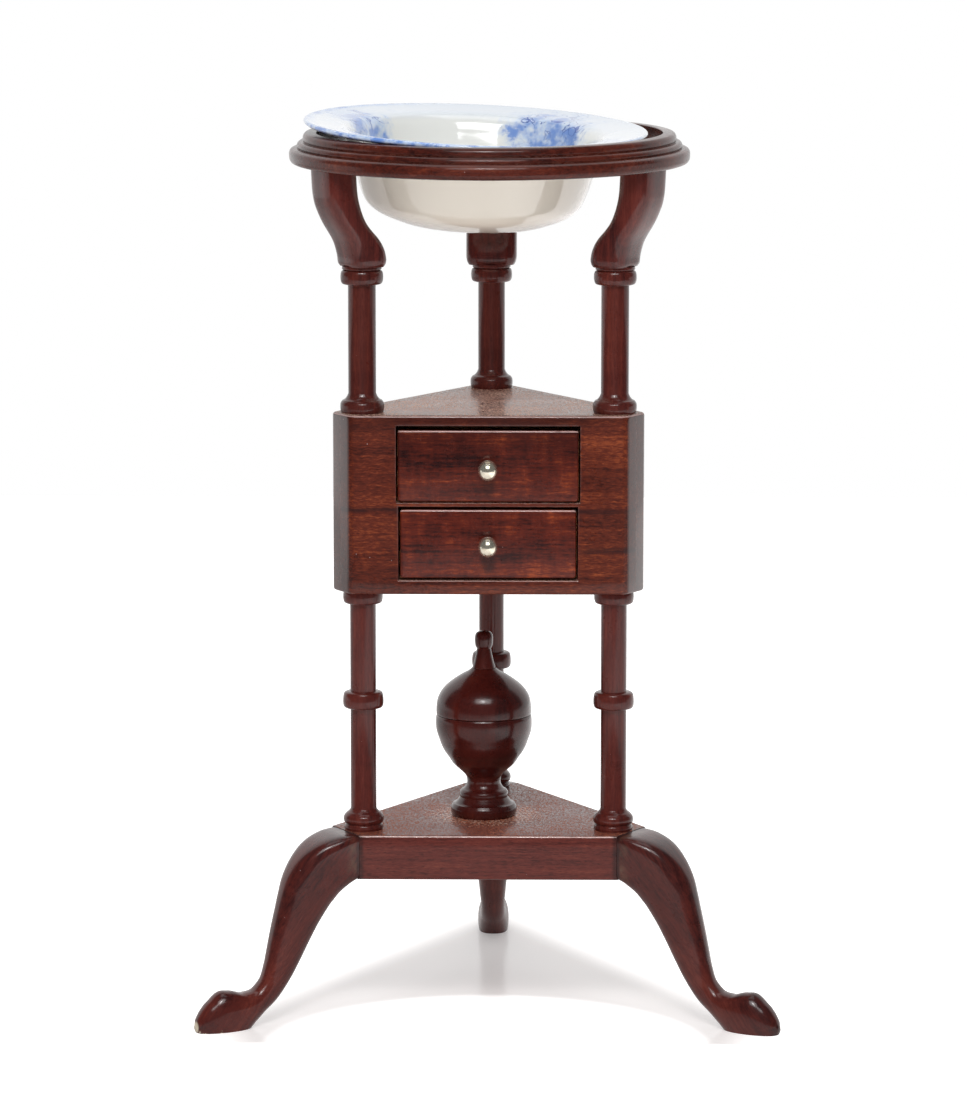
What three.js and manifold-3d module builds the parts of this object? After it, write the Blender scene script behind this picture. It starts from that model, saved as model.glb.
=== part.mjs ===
// Tripod washstand in mahogany: three cabriole legs carry a triangular platform with a turned
// soap urn, three turned columns carry a triangular case with two drawers, and three more
// columns with S-curved brackets carry a moulded ring that holds a porcelain basin.
//
// Millimetres, Z up. Heights count up from the floor and radii out from the tripod's axis.
// The front faces -Y. The names of left and right are those of someone who stands in front.

import * as THREE from 'three';
import { mergeVertices } from 'three/addons/utils/BufferGeometryUtils.js';
import Module from 'manifold-3d';

const wasm = await Module();
wasm.setup();

// Fits between pieces
const jointGap = 0.3;
const dowelGap = 0.4;
const runningGap = 0.5;
const cutOverrun = 20;

// Openings for the drawers, which set how far apart the columns stand
const upperOpeningWidth = 160;
const upperOpeningHeight = 67.3;
const openingWidthStep = 4;
const lowerOpeningWidth = upperOpeningWidth - openingWidthStep;
const lowerOpeningHeight = 64.6;
const openingToColumn = 30;

// Tripod plan; directions are shares of a turn from +X towards +Y
const legTurnShares = { left: 7 / 12, right: 11 / 12, back: 1 / 4 };
const columnCircleRadius = (upperOpeningWidth / 2 + openingToColumn) / Math.cos(Math.PI / 6);
const dowelRadius = 7;
const dowelLength = 17;

// Platform, a triangle whose corners are cut off to take the legs
const platformTop = 165;
const platformThickness = 39.5;
const platformSideMargin = 31.5;
const platformCornerMargin = 18;
const platformInradius = columnCircleRadius / 2 + platformSideMargin;
const platformCornerRadius = columnCircleRadius + platformCornerMargin;
const platformEdgeRadius = 1.6;

// Legs
const legReach = 293.5;
const legTenonLength = 24;
const legTenonWidth = 16;
const legTenonHeight = 14;
const legTenonDrop = 27;
// Each row is one section of the leg: its way out from the platform to the toe, its height
// under the platform's top, its depth and width as shares of the platform's thickness and of
// the cut corner's width, and how square it is.
const legSectionShares = [
  [-0.07, 0.880, 0.985, 0.99, 12],
  [0.00, 0.880, 0.985, 0.99, 10],
  [0.065, 0.867, 1.09, 0.97, 6],
  [0.138, 0.834, 1.22, 0.89, 4.2],
  [0.198, 0.785, 1.28, 0.80, 3.2],
  [0.252, 0.717, 1.25, 0.73, 2.8],
  [0.292, 0.646, 1.15, 0.67, 2.6],
  [0.332, 0.566, 1.03, 0.62, 2.5],
  [0.372, 0.478, 0.92, 0.57, 2.5],
  [0.413, 0.382, 0.81, 0.52, 2.4],
  [0.456, 0.287, 0.68, 0.465, 2.4],
  [0.507, 0.205, 0.57, 0.43, 2.4],
  [0.575, 0.146, 0.555, 0.44, 2.4],
  [0.66, 0.105, 0.75, 0.50, 2.4],
  [0.735, 0.081, 1.11, 0.545, 2.3],
  [0.79, 0.065, 1.25, 0.56, 2.3],
  [0.845, 0.050, 1.15, 0.545, 2.3],
  [0.90, 0.039, 0.95, 0.485, 2.3],
  [0.945, 0.031, 0.70, 0.40, 2.3],
  [0.98, 0.026, 0.42, 0.27, 2.3],
  [1.00, 0.024, 0.12, 0.10, 2.2],
];
const legSides = 12;
const legSteps = 22;

// Lower columns, between the platform and the case; the back one's collar is higher, as photographed
const lowerShaftRadius = 11.3;
const lowerBaseRadius = 17.8;
const lowerBaseHeight = 19.5;
const middleCollarRadius = 17.6;
const middleCollarHeight = 15;
const frontCollarRise = 116;
const backCollarRise = 119;
const frontCollarLevel = platformTop + frontCollarRise;
const backCollarLevel = platformTop + backCollarRise;
const topCollarRadius = 17.3;
const topCollarHeight = 11.5;
// Turned outlines: radius as a share of the moulding's own, height as a share of its height.
const lowerBaseShares = [
  [0.93, 0], [0.95, 0.20], [0.88, 0.27], [0.97, 0.36], [1, 0.5], [0.96, 0.64], [0.83, 0.78], [0.68, 0.92],
];
const middleCollarShares = [[0.78, 0], [0.93, 0.06], [1, 0.22], [1, 0.7], [0.94, 0.9], [0.8, 1]];
const topCollarShares = [[0.8, 0], [0.94, 0.14], [1, 0.38], [1, 0.85], [0.95, 1]];

// Case, a triangular box with cut corners
const lowerColumnHeight = 213;
const caseBottom = platformTop + lowerColumnHeight;
const caseBottomBoard = 12.4;
const dustBoard = 3.5;
const caseTopRail = 9.2;
const lowerOpeningBottom = caseBottom + caseBottomBoard;
const dustBoardBottom = lowerOpeningBottom + lowerOpeningHeight;
const upperOpeningBottom = dustBoardBottom + dustBoard;
const caseTop = upperOpeningBottom + upperOpeningHeight + caseTopRail;
const caseSideMargin = 25.5;
const caseCornerMargin = 21.8;
const caseInradius = columnCircleRadius / 2 + caseSideMargin;
const caseCornerRadius = columnCircleRadius + caseCornerMargin;
const casePlanRounding = 4;
const caseEdgeRadius = 2.4;
const caseBoard = 12;
const caseTopBoard = 9;
const cornerBlockDepth = 10;
const cornerBlockRadius = columnCircleRadius - cornerBlockDepth;
const guideWidth = 8;
const guideHeight = 12;
const stopWidth = 24;
const stopDepth = 7;
const stopHeight = 10;

// Drawers
const drawerFrontBoard = 12;
const drawerSideBoard = 6;
const drawerBottomBoard = 4;
const drawerFrontRecess = 0.6;
const drawerSideGap = 1;
const drawerHeadroom = 5;
const drawerEdgeRadius = 1.4;
const drawerGroove = 2.5;
const drawerBottomLift = 3;
const drawerTailLength = 7.5;
const drawerTailHeight = 13;
const drawerTailRootShare = 0.66;
const drawerTailLevelShares = [0.32, 0.76];
const upperFrontGapBelow = 1;
const upperFrontGapAbove = 3.8;
const lowerFrontGapBelow = 2;
const lowerFrontGapAbove = 2.4;

// Knobs
const knobRadius = 8;
const knobLength = 17;
const knobNeckRadius = 3.4;
const knobNeckLength = 3.5;
const knobFlangeRadius = 5;
const knobFlangeLength = 1.4;
const knobShankRadius = 2;
const knobShankEnd = 5;
const knobNutRadius = 4.5;
const knobNutLength = 3;

// Upper columns, between the case and the brackets; the back one is shorter, as photographed
const frontUpperColumnHeight = 127.6;
const backUpperColumnHeight = 112.5;
const frontCapitalTop = caseTop + frontUpperColumnHeight;
const backCapitalTop = caseTop + backUpperColumnHeight;
const upperShaftRadius = 12.1;
const upperBaseRadius = 19.2;
const upperBaseHeight = 17;
const capitalRadius = 18.4;
const capitalHeight = 16;
const upperBaseShares = [
  [0.955, 0], [0.99, 0.18], [1, 0.34], [0.98, 0.5], [0.9, 0.63], [0.76, 0.78], [0.67, 0.9],
];
const capitalShares = [
  [0.78, 0], [0.93, 0.08], [1, 0.26], [1, 0.6], [0.95, 0.75], [0.86, 0.8], [0.93, 0.85], [0.93, 1],
];

// Widths in the top ring, round the basin's rim
const basinRimRadius = 151.5;
const basinSeatGap = 0.5;
const ringRimWidth = 23.8;
const ringLedgeWidth = 25;

// Brackets
const bracketInset = 21.5;
const bracketTopRadius = basinRimRadius + basinSeatGap + ringRimWidth - bracketInset;
const bracketDepth = 30;
const bracketWidth = 46;
const bracketSquarenessShare = 3.4;
const bracketDowelRadius = 5;
const bracketDowelLength = 11;
// Each row is one level section: its height and its way out as shares of the S-curve, and its
// depth and width as shares of the bracket's own.
const bracketSectionShares = [
  [0, 0, 1.02, 0.90],
  [0.03, 0, 1.12, 0.97],
  [0.08, 0, 1.15, 1],
  [0.16, 0.05, 1.15, 1],
  [0.235, 0.14, 1.12, 1],
  [0.30, 0.26, 1.08, 1],
  [0.365, 0.42, 1.02, 1],
  [0.43, 0.57, 0.98, 1],
  [0.49, 0.68, 0.97, 1],
  [0.56, 0.78, 0.98, 1],
  [0.65, 0.88, 1, 1],
  [0.76, 0.95, 1, 1],
  [1, 1, 1, 1],
];
const bracketSides = 12;
const bracketSteps = 10;

// Top ring, which leans a little to the front, as photographed
const ringRebateRadius = basinRimRadius + basinSeatGap;
const ringRadius = ringRebateRadius + ringRimWidth;
const ringBoreRadius = ringRebateRadius - ringLedgeWidth;
const ringThickness = 26.5;
const ringRise = 86.1;
const ringLevel = frontCapitalTop + ringRise;
const ringLean = 1.4;
const ringRebateDepth = 8.5;
const ringMouldingWidth = 18.5;
// The moulded edge from below: way in as a share of the moulding's width, then height.
const ringMouldingShares = [
  [0.22, 0], [0.065, 0.075], [0, 0.19], [0, 0.34], [0.065, 0.44], [0.22, 0.49], [0.42, 0.505],
  [0.41, 0.6], [0.475, 0.68], [0.6, 0.705], [0.69, 0.717], [0.7, 0.83], [0.78, 0.93], [1, 1],
];

// Basin, which has slipped to the left and back and rides up on its shoulder there
const basinDepth = 91;
const basinRimRise = 32.8;
const basinRimLevel = ringLevel + basinRimRise;
const basinShiftX = -12;
const basinShiftY = 3;
const basinLeanRight = 2.46;
const basinLeanFront = 3.4;
// Outline from the middle of the base, round the rim and back to the middle of the well:
// radius as a share of the rim's, height as a share of the depth.
const basinOutlineShares = [
  [0, -0.975], [0.205, -0.975], [0.215, -1], [0.245, -1], [0.39, -0.965], [0.49, -0.912],
  [0.575, -0.845], [0.627, -0.765], [0.655, -0.675], [0.685, -0.53], [0.716, -0.36], [0.748, -0.215],
  [0.778, -0.135], [0.832, -0.093], [0.911, -0.077], [0.977, -0.055], [0.998, -0.035], [1, -0.02],
  [0.994, -0.005], [0.983, 0], [0.962, -0.007], [0.89, -0.027], [0.805, -0.045], [0.752, -0.068],
  [0.722, -0.125], [0.7, -0.24], [0.667, -0.44], [0.64, -0.59], [0.6, -0.71], [0.528, -0.808],
  [0.42, -0.874], [0.265, -0.918], [0, -0.934],
];

// Soap urn, which stands a little to the left of the middle, as photographed
const urnRadius = 42.8;
const urnShiftX = -5;
const urnBodyHeight = 91.5;
const urnSeamLevel = platformTop + urnBodyHeight;
const urnMouthRadius = 35;
const urnWellDepth = 49.5;
const urnLidHeight = 41.5;
const urnLidTop = urnSeamLevel + urnLidHeight;
const urnLidBoreDepth = 27.5;
const urnSpigotDepth = 4.5;
const urnSpigotWall = 3;
const urnDowelRadius = 8;
const urnDowelLength = 20;
const finialHeight = 33;
const finialTop = urnLidTop + finialHeight;
const finialNeckRadius = 10.2;
const finialDowelRadius = 4;
const finialDowelLength = 9;
// Foot and body up to the seam: radius as a share of the urn's, height as a share of the way up.
const urnBodyShares = [
  [0.655, 0], [0.68, 0.045], [0.685, 0.085], [0.65, 0.12], [0.53, 0.165], [0.475, 0.195], [0.485, 0.235],
  [0.45, 0.27], [0.37, 0.30], [0.343, 0.34], [0.375, 0.40], [0.51, 0.46], [0.645, 0.52], [0.73, 0.58],
  [0.82, 0.64], [0.885, 0.70], [0.93, 0.76], [0.98, 0.83], [1, 0.89], [1, 0.95], [0.99, 1],
];
// The well inside it, from the mouth down.
const urnWellShares = [[1, 0], [1, 0.2], [0.95, 0.4], [0.83, 0.62], [0.62, 0.82], [0.35, 0.95], [0, 1]];
// Lid from the seam up.
const urnLidShares = [
  [0.985, 0], [0.99, 0.1], [0.98, 0.24], [0.95, 0.37], [0.89, 0.49], [0.79, 0.615], [0.64, 0.74],
  [0.455, 0.865], [0.32, 0.94], [0.25, 1],
];
const urnLidBoreShares = [[1, 0], [0.99, 0.3], [0.92, 0.55], [0.78, 0.78], [0.5, 0.94], [0, 1]];
// Finial from the lid up: radius as a share of the neck's.
const finialShares = [
  [1, 0], [0.86, 0.16], [0.74, 0.32], [0.62, 0.5], [0.57, 0.53], [0.72, 0.58], [0.78, 0.68], [0.78, 0.84],
  [0.68, 0.94], [0.4, 0.99], [0, 1],
];

// Facets
const dowelSides = 12;
const columnSides = 12;
const ringSides = 40;
const basinSides = 30;
const urnSides = 16;
const knobSides = 12;

const mahogany = { color: 0x5a2c24, roughness: 0.28, metalness: 0 };
const caseMahogany = { color: 0x6b2f1f, roughness: 0.3, metalness: 0 };
const innerWood = { color: 0x8a6440, roughness: 0.75, metalness: 0 };
const porcelain = { color: 0xf0efea, roughness: 0.12, metalness: 0 };
const nickel = { color: 0xd2cab4, roughness: 0.15, metalness: 1 };

// Turns a closed geometry into a solid whose faces point out.
function solid(geometry) {
  const bare = geometry.index ? geometry.toNonIndexed() : geometry.clone();
  for (const name of Object.keys(bare.attributes)) {
    if (name !== 'position') bare.deleteAttribute(name);
  }
  const merged = mergeVertices(bare, 1e-4);
  const corners = merged.attributes.position.array;
  const faces = [];
  let volume = 0;
  const corner = (i) => new THREE.Vector3().fromArray(corners, 3 * i);
  for (let i = 0; i < merged.index.count; i += 3) {
    const [a, b, c] = [0, 1, 2].map((k) => merged.index.getX(i + k));
    if (a === b || b === c || c === a) continue;
    faces.push([a, b, c]);
    volume += corner(a).dot(corner(b).cross(corner(c)));
  }
  const triangles = faces.flatMap(([a, b, c]) => (volume > 0 ? [a, b, c] : [a, c, b]));
  return new wasm.Manifold(new wasm.Mesh({
    numProp: 3,
    vertProperties: new Float32Array(corners),
    triVerts: new Uint32Array(triangles),
  }));
}

function join(first, ...others) {
  return others.reduce((whole, other) => whole.add(other), first);
}

function cut(whole, ...tools) {
  return tools.reduce((left, tool) => left.subtract(tool), whole);
}

function mesh(name, shape, finish) {
  const data = shape.getMesh();
  const geometry = new THREE.BufferGeometry();
  geometry.setAttribute('position', new THREE.BufferAttribute(new Float32Array(data.vertProperties), 3));
  geometry.setIndex(new THREE.BufferAttribute(new Uint32Array(data.triVerts), 1));
  geometry.computeVertexNormals();
  const made = new THREE.Mesh(geometry, new THREE.MeshStandardMaterial(finish));
  made.name = name;
  return made;
}

function put(parent, child, x, y, z) {
  child.position.set(x, y, z);
  parent.add(child);
}

// A turned solid about the Z axis from an outline of radius and height.
function turned(outline, sides) {
  const points = outline.map(([radius, height]) => new THREE.Vector2(radius, height));
  return solid(new THREE.LatheGeometry(points, sides).rotateX(Math.PI / 2));
}

function rod(radius, from, to, sides) {
  return turned([[0, from], [radius, from], [radius, to], [0, to]], sides);
}

// A share outline in real sizes, from a level up.
function outline(shares, radius, from, height) {
  return shares.map(([across, up]) => [across * radius, from + up * height]);
}

// A block between two corners.
function block(x0, x1, y0, y1, z0, z1) {
  const box = new THREE.BoxGeometry(x1 - x0, y1 - y0, z1 - z0);
  return solid(box.translate((x0 + x1) / 2, (y0 + y1) / 2, (z0 + z1) / 2));
}

// All that lies between two distances from the axis, measured square to a plan direction.
function slab(angle, from, to, reach, z0, z1) {
  const box = new THREE.BoxGeometry(to - from, 2 * reach, z1 - z0);
  box.translate((from + to) / 2, 0, (z0 + z1) / 2).rotateZ(THREE.MathUtils.degToRad(angle));
  return solid(box);
}

// The legs' names and their directions in degrees.
function legs() {
  return Object.entries(legTurnShares).map(([name, share]) => [name, 360 * share]);
}

function polar(radius, angle) {
  const turn = THREE.MathUtils.degToRad(angle);
  return [radius * Math.cos(turn), radius * Math.sin(turn)];
}

// Width of the flat left where a triangle's corner is cut off.
function cornerFlat(inradius, cornerRadius) {
  return 2 * (2 * inradius - cornerRadius) * Math.tan(Math.PI / 6);
}

// Plan of a triangle with its corners cut off, as points in order round the axis.
function trianglePlan(inradius, cornerRadius) {
  const half = cornerFlat(inradius, cornerRadius) / 2;
  const spread = THREE.MathUtils.radToDeg(Math.atan2(half, cornerRadius));
  return legs().sort((a, b) => a[1] - b[1]).flatMap(([, angle]) => [
    polar(Math.hypot(cornerRadius, half), angle - spread),
    polar(Math.hypot(cornerRadius, half), angle + spread),
  ]);
}

// A prism over a plan whose upright edges and rims are rounded.
function roundedPrism(plan, z0, z1, planRounding, rimRounding) {
  const points = plan.map(([x, y]) => new THREE.Vector2(x, y));
  const shape = new THREE.Shape();
  points.forEach((corner, i) => {
    const before = points[(i + points.length - 1) % points.length];
    const after = points[(i + 1) % points.length];
    const enter = corner.clone().add(before.clone().sub(corner).setLength(planRounding));
    const leave = corner.clone().add(after.clone().sub(corner).setLength(planRounding));
    if (i === 0) shape.moveTo(enter.x, enter.y);
    else shape.lineTo(enter.x, enter.y);
    shape.quadraticCurveTo(corner.x, corner.y, leave.x, leave.y);
  });
  shape.closePath();
  const extrusion = new THREE.ExtrudeGeometry(shape, {
    depth: z1 - z0 - 2 * rimRounding,
    bevelEnabled: true,
    bevelThickness: rimRounding,
    bevelSize: rimRounding,
    bevelOffset: -rimRounding,
    bevelSegments: 2,
    curveSegments: 3,
  });
  return solid(extrusion.translate(0, 0, z0 + rimRounding));
}

// A closed skin over rings of equally many points, with flat ends.
function loft(rings) {
  const sides = rings[0].length;
  const positions = rings.flat().flatMap((point) => point.toArray());
  const index = [];
  for (let i = 0; i + 1 < rings.length; i += 1) {
    for (let k = 0; k < sides; k += 1) {
      const a = i * sides + k;
      const b = i * sides + (k + 1) % sides;
      index.push(a, b, b + sides, a, b + sides, a + sides);
    }
  }
  const last = (rings.length - 1) * sides;
  for (let k = 1; k + 1 < sides; k += 1) {
    index.push(0, k + 1, k, last, last + k, last + k + 1);
  }
  const geometry = new THREE.BufferGeometry();
  geometry.setAttribute('position', new THREE.Float32BufferAttribute(positions, 3));
  geometry.setIndex(index);
  return geometry;
}

// Points of a rounded section between an ellipse and a rectangle.
function section(depth, width, squareness, sides) {
  const bend = (value) => Math.sign(value) * Math.abs(value) ** (2 / squareness);
  return Array.from({ length: sides }, (_, k) => {
    const turn = 2 * Math.PI * (k + 0.5) / sides;
    return [depth / 2 * bend(Math.cos(turn)), width / 2 * bend(Math.sin(turn))];
  });
}

// The cabriole leg along +X: sections square to a curve that swings out from the platform,
// down to the ankle and forward into the foot.
function legShape() {
  const flat = cornerFlat(platformInradius, platformCornerRadius);
  const span = legReach - platformCornerRadius;
  const path = new THREE.CatmullRomCurve3(legSectionShares.map(([out, up]) => (
    new THREE.Vector3(platformCornerRadius + out * span, 0, up * platformTop))));
  const sizes = new THREE.CatmullRomCurve3(legSectionShares.map(([, , depth, width, squareness]) => (
    new THREE.Vector3(depth * platformThickness, width * flat, squareness))));
  const side = new THREE.Vector3(0, 1, 0);
  const rings = Array.from({ length: legSteps + 1 }, (_, i) => {
    const middle = path.getPoint(i / legSteps);
    const normal = path.getTangent(i / legSteps).cross(side);
    const size = sizes.getPoint(i / legSteps);
    return section(size.x, size.y, size.z, legSides).map(([deep, wide]) => (
      middle.clone().addScaledVector(normal, deep).addScaledVector(side, wide)));
  });
  const root = platformCornerRadius + jointGap;
  const reach = legReach + cutOverrun;
  const underFloor = block(0, reach, -flat, flat, -platformTop, 0);
  const insideRoot = block(0, root, -flat, flat, 0, platformTop + cutOverrun);
  const tenonTop = platformTop - legTenonDrop + legTenonHeight / 2 - jointGap;
  const tenon = block(
    root - legTenonLength, root + jointGap, -legTenonWidth / 2, legTenonWidth / 2,
    tenonTop - legTenonHeight, tenonTop,
  );
  return join(cut(solid(loft(rings)), underFloor, insideRoot), tenon);
}

function platformShape() {
  const z0 = platformTop - platformThickness;
  const uncut = roundedPrism(
    trianglePlan(platformInradius, platformCornerRadius + platformEdgeRadius),
    z0, platformTop, 2 * platformEdgeRadius, platformEdgeRadius,
  );
  const reach = platformInradius;
  const tools = legs().flatMap(([, angle]) => {
    const [x, y] = polar(columnCircleRadius, angle);
    const corner = slab(
      angle, platformCornerRadius, platformCornerRadius + cutOverrun, reach, 0, platformTop + cutOverrun,
    );
    const mortise = new THREE.BoxGeometry(
      legTenonLength + cutOverrun, legTenonWidth + 2 * jointGap, legTenonHeight + 2 * jointGap,
    );
    mortise.translate(
      platformCornerRadius - legTenonLength + (legTenonLength + cutOverrun) / 2, 0,
      platformTop - legTenonDrop - jointGap,
    );
    mortise.rotateZ(THREE.MathUtils.degToRad(angle));
    return [corner, solid(mortise), socket(x, y, platformTop - dowelLength, platformTop + cutOverrun)];
  });
  const urnHole = new THREE.CylinderGeometry(
    urnDowelRadius + dowelGap, urnDowelRadius + dowelGap, 2 * (urnDowelLength + dowelGap), dowelSides,
  );
  return cut(uncut, ...tools, solid(urnHole.rotateX(Math.PI / 2).translate(urnShiftX, 0, platformTop)));
}

// The hole for a column's dowel, with room at its end.
function socket(x, y, z0, z1) {
  const hole = new THREE.CylinderGeometry(dowelRadius + dowelGap, dowelRadius + dowelGap, z1 - z0 + dowelGap,
    dowelSides);
  return solid(hole.rotateX(Math.PI / 2).translate(x, y, (z0 - dowelGap + z1) / 2));
}

function lowerColumnShape(collarLevel) {
  const height = caseBottom - platformTop;
  const collar = collarLevel - platformTop - middleCollarHeight / 2;
  return turned([
    [0, -dowelLength],
    [dowelRadius, -dowelLength],
    [dowelRadius, 0],
    ...outline(lowerBaseShares, lowerBaseRadius, 0, lowerBaseHeight),
    [lowerShaftRadius, lowerBaseHeight],
    [lowerShaftRadius, collar],
    ...outline(middleCollarShares, middleCollarRadius, collar, middleCollarHeight),
    [lowerShaftRadius, collar + middleCollarHeight],
    [lowerShaftRadius, height - topCollarHeight],
    ...outline(topCollarShares, topCollarRadius, height - topCollarHeight, topCollarHeight),
    [dowelRadius, height],
    [dowelRadius, height + dowelLength],
    [0, height + dowelLength],
  ], columnSides);
}

function upperColumnShape(capitalTop) {
  const height = capitalTop - caseTop;
  return turned([
    [0, -dowelLength],
    [dowelRadius, -dowelLength],
    [dowelRadius, 0],
    ...outline(upperBaseShares, upperBaseRadius, 0, upperBaseHeight),
    [upperShaftRadius, upperBaseHeight],
    [upperShaftRadius, height - capitalHeight],
    ...outline(capitalShares, capitalRadius, height - capitalHeight, capitalHeight),
    [dowelRadius, height],
    [dowelRadius, height + dowelLength],
    [0, height + dowelLength],
  ], columnSides);
}

// Levels of the drawers' openings, from the bottom board up
const sideTurnShares = { front: 3 / 4, left: 5 / 12, right: 1 / 12 };

function caseBody() {
  return roundedPrism(
    trianglePlan(caseInradius, caseCornerRadius), caseBottom, caseTop, casePlanRounding, caseEdgeRadius,
  );
}

// What the case's upright boards leave inside, less a gap all round.
function caseCore(gap) {
  const inset = caseBoard + gap;
  return roundedPrism(
    trianglePlan(caseInradius - inset, caseCornerRadius - inset),
    caseBottom - cutOverrun, caseTop + cutOverrun, caseEdgeRadius, caseEdgeRadius / 2,
  );
}

// One of the three upright boards, mitred against its neighbours in the middle of the corners.
function uprightBoard(wall, side) {
  const reach = 2 * caseCornerRadius;
  const mitres = [-30, 30].map((turn) => (
    slab(360 * sideTurnShares[side] + turn, jointGap / 2, reach, reach, 0, caseTop + cutOverrun)));
  return wall.intersect(mitres[0]).intersect(mitres[1]);
}

function openingCutter(width, bottom, height) {
  return block(
    -width / 2, width / 2, -caseInradius - cutOverrun, -caseInradius + caseBoard + cutOverrun,
    bottom, bottom + height,
  );
}

function levelRegion(z0, z1) {
  const reach = 2 * caseInradius + cutOverrun;
  return block(-reach, reach, -reach, reach, z0, z1);
}

function addCaseBoards(stand) {
  const whole = caseBody();
  const wall = cut(whole, caseCore(0));
  const front = cut(
    uprightBoard(wall, 'front'),
    openingCutter(lowerOpeningWidth, lowerOpeningBottom, lowerOpeningHeight),
    openingCutter(upperOpeningWidth, upperOpeningBottom, upperOpeningHeight),
  );
  stand.add(mesh('case_front', front, caseMahogany));
  stand.add(mesh('case_side_left', uprightBoard(wall, 'left'), caseMahogany));
  stand.add(mesh('case_side_right', uprightBoard(wall, 'right'), caseMahogany));

  const inner = whole.intersect(caseCore(jointGap));
  const sockets = (z0, z1) => legs().map(([, angle]) => (
    socket(...polar(columnCircleRadius, angle), z0, z1)));
  const topFrom = caseTop - caseTopBoard;
  const top = inner.intersect(levelRegion(topFrom, caseTop + cutOverrun));
  const bottom = inner.intersect(levelRegion(0, lowerOpeningBottom));
  const upperSockets = sockets(caseTop - dowelLength, caseTop + cutOverrun);
  const lowerSockets = sockets(caseBottom - cutOverrun, caseBottom + dowelLength + dowelGap);
  stand.add(mesh('case_top', cut(top, ...upperSockets), caseMahogany));
  stand.add(mesh('case_bottom', cut(bottom, ...lowerSockets), caseMahogany));

  const between = inner.intersect(levelRegion(lowerOpeningBottom + jointGap, topFrom - jointGap));
  for (const [name, angle] of legs()) {
    const corner = between.intersect(slab(
      angle, cornerBlockRadius, caseCornerRadius + cutOverrun, caseInradius, 0, caseTop,
    ));
    stand.add(mesh(`corner_block_${name}`, cut(corner, ...upperSockets, ...lowerSockets), innerWood));
  }
  const shelf = inner.intersect(levelRegion(dustBoardBottom, upperOpeningBottom));
  const corners = legs().map(([, angle]) => slab(
    angle, cornerBlockRadius - jointGap, caseCornerRadius + cutOverrun, caseInradius, 0, caseTop,
  ));
  stand.add(mesh('dust_board', cut(shelf, ...corners), innerWood));
  return inner;
}

// The strips that a drawer runs between and the block that stops it.
function addRunners(stand, inner, level, width, bottom) {
  const y0 = -caseInradius + caseBoard + jointGap;
  for (const [side, sign] of [['left', -1], ['right', 1]]) {
    const near = sign * width / 2;
    const far = sign * (width / 2 + guideWidth);
    const strip = block(
      Math.min(near, far), Math.max(near, far), y0, caseInradius, bottom, bottom + guideHeight,
    );
    stand.add(mesh(`${level}_guide_${side}`, inner.intersect(strip), innerWood));
  }
  const y1 = drawerBack(width) + runningGap;
  const stop = block(-stopWidth / 2, stopWidth / 2, y1, y1 + stopDepth, bottom, bottom + stopHeight);
  stand.add(mesh(`${level}_stop`, stop, innerWood));
}

// How far back a drawer of this width can reach between the sloping sides of the case.
function drawerBack(width) {
  const inside = caseInradius - caseBoard - drawerSideGap;
  return (inside - width / 2 * Math.cos(Math.PI / 6)) / Math.sin(Math.PI / 6);
}

function knobShape() {
  const ball = Array.from({ length: knobSides / 2 }, (_, i) => {
    const turn = Math.PI * (0.13 + 0.87 * i / (knobSides / 2 - 1));
    const middle = knobFlangeLength + knobNeckLength + knobLength / 2;
    return [knobRadius * Math.sin(turn), middle - knobLength / 2 * Math.cos(turn)];
  });
  ball[ball.length - 1][0] = 0;
  return turned([
    [0, -drawerFrontBoard - knobShankEnd],
    [knobShankRadius, -drawerFrontBoard - knobShankEnd],
    [knobShankRadius, 0],
    [knobFlangeRadius, 0],
    [knobFlangeRadius, knobFlangeLength],
    [knobNeckRadius, knobFlangeLength + knobFlangeLength / 2],
    ...ball,
  ], knobSides);
}

function knobNutShape() {
  const hole = knobShankRadius + dowelGap / 2;
  return turned([
    [hole, 0], [knobNutRadius, 0], [knobNutRadius, knobNutLength], [hole, knobNutLength], [hole, 0],
  ], 6 * 2);
}

// A dovetail through a drawer's side, from its root at a level, or with a gap the hole for it.
function dovetail(x0, x1, root, level, gap) {
  const tip = root - drawerTailLength - gap;
  const end = root + 2 * jointGap;
  const wide = drawerTailHeight / 2 + gap;
  const narrow = drawerTailHeight / 2 * drawerTailRootShare + gap;
  const outlinePoints = [[tip, -wide], [end, -narrow], [end, narrow], [tip, wide]];
  const shape = new THREE.Shape(outlinePoints.map(([y, z]) => new THREE.Vector2(y, level + z)));
  const prism = new THREE.ExtrudeGeometry(shape, { depth: x1 - x0, bevelEnabled: false });
  const axes = new THREE.Matrix4().makeBasis(
    new THREE.Vector3(0, 1, 0), new THREE.Vector3(0, 0, 1), new THREE.Vector3(1, 0, 0),
  );
  return solid(prism.applyMatrix4(axes).translate(x0, 0, 0));
}

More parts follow.
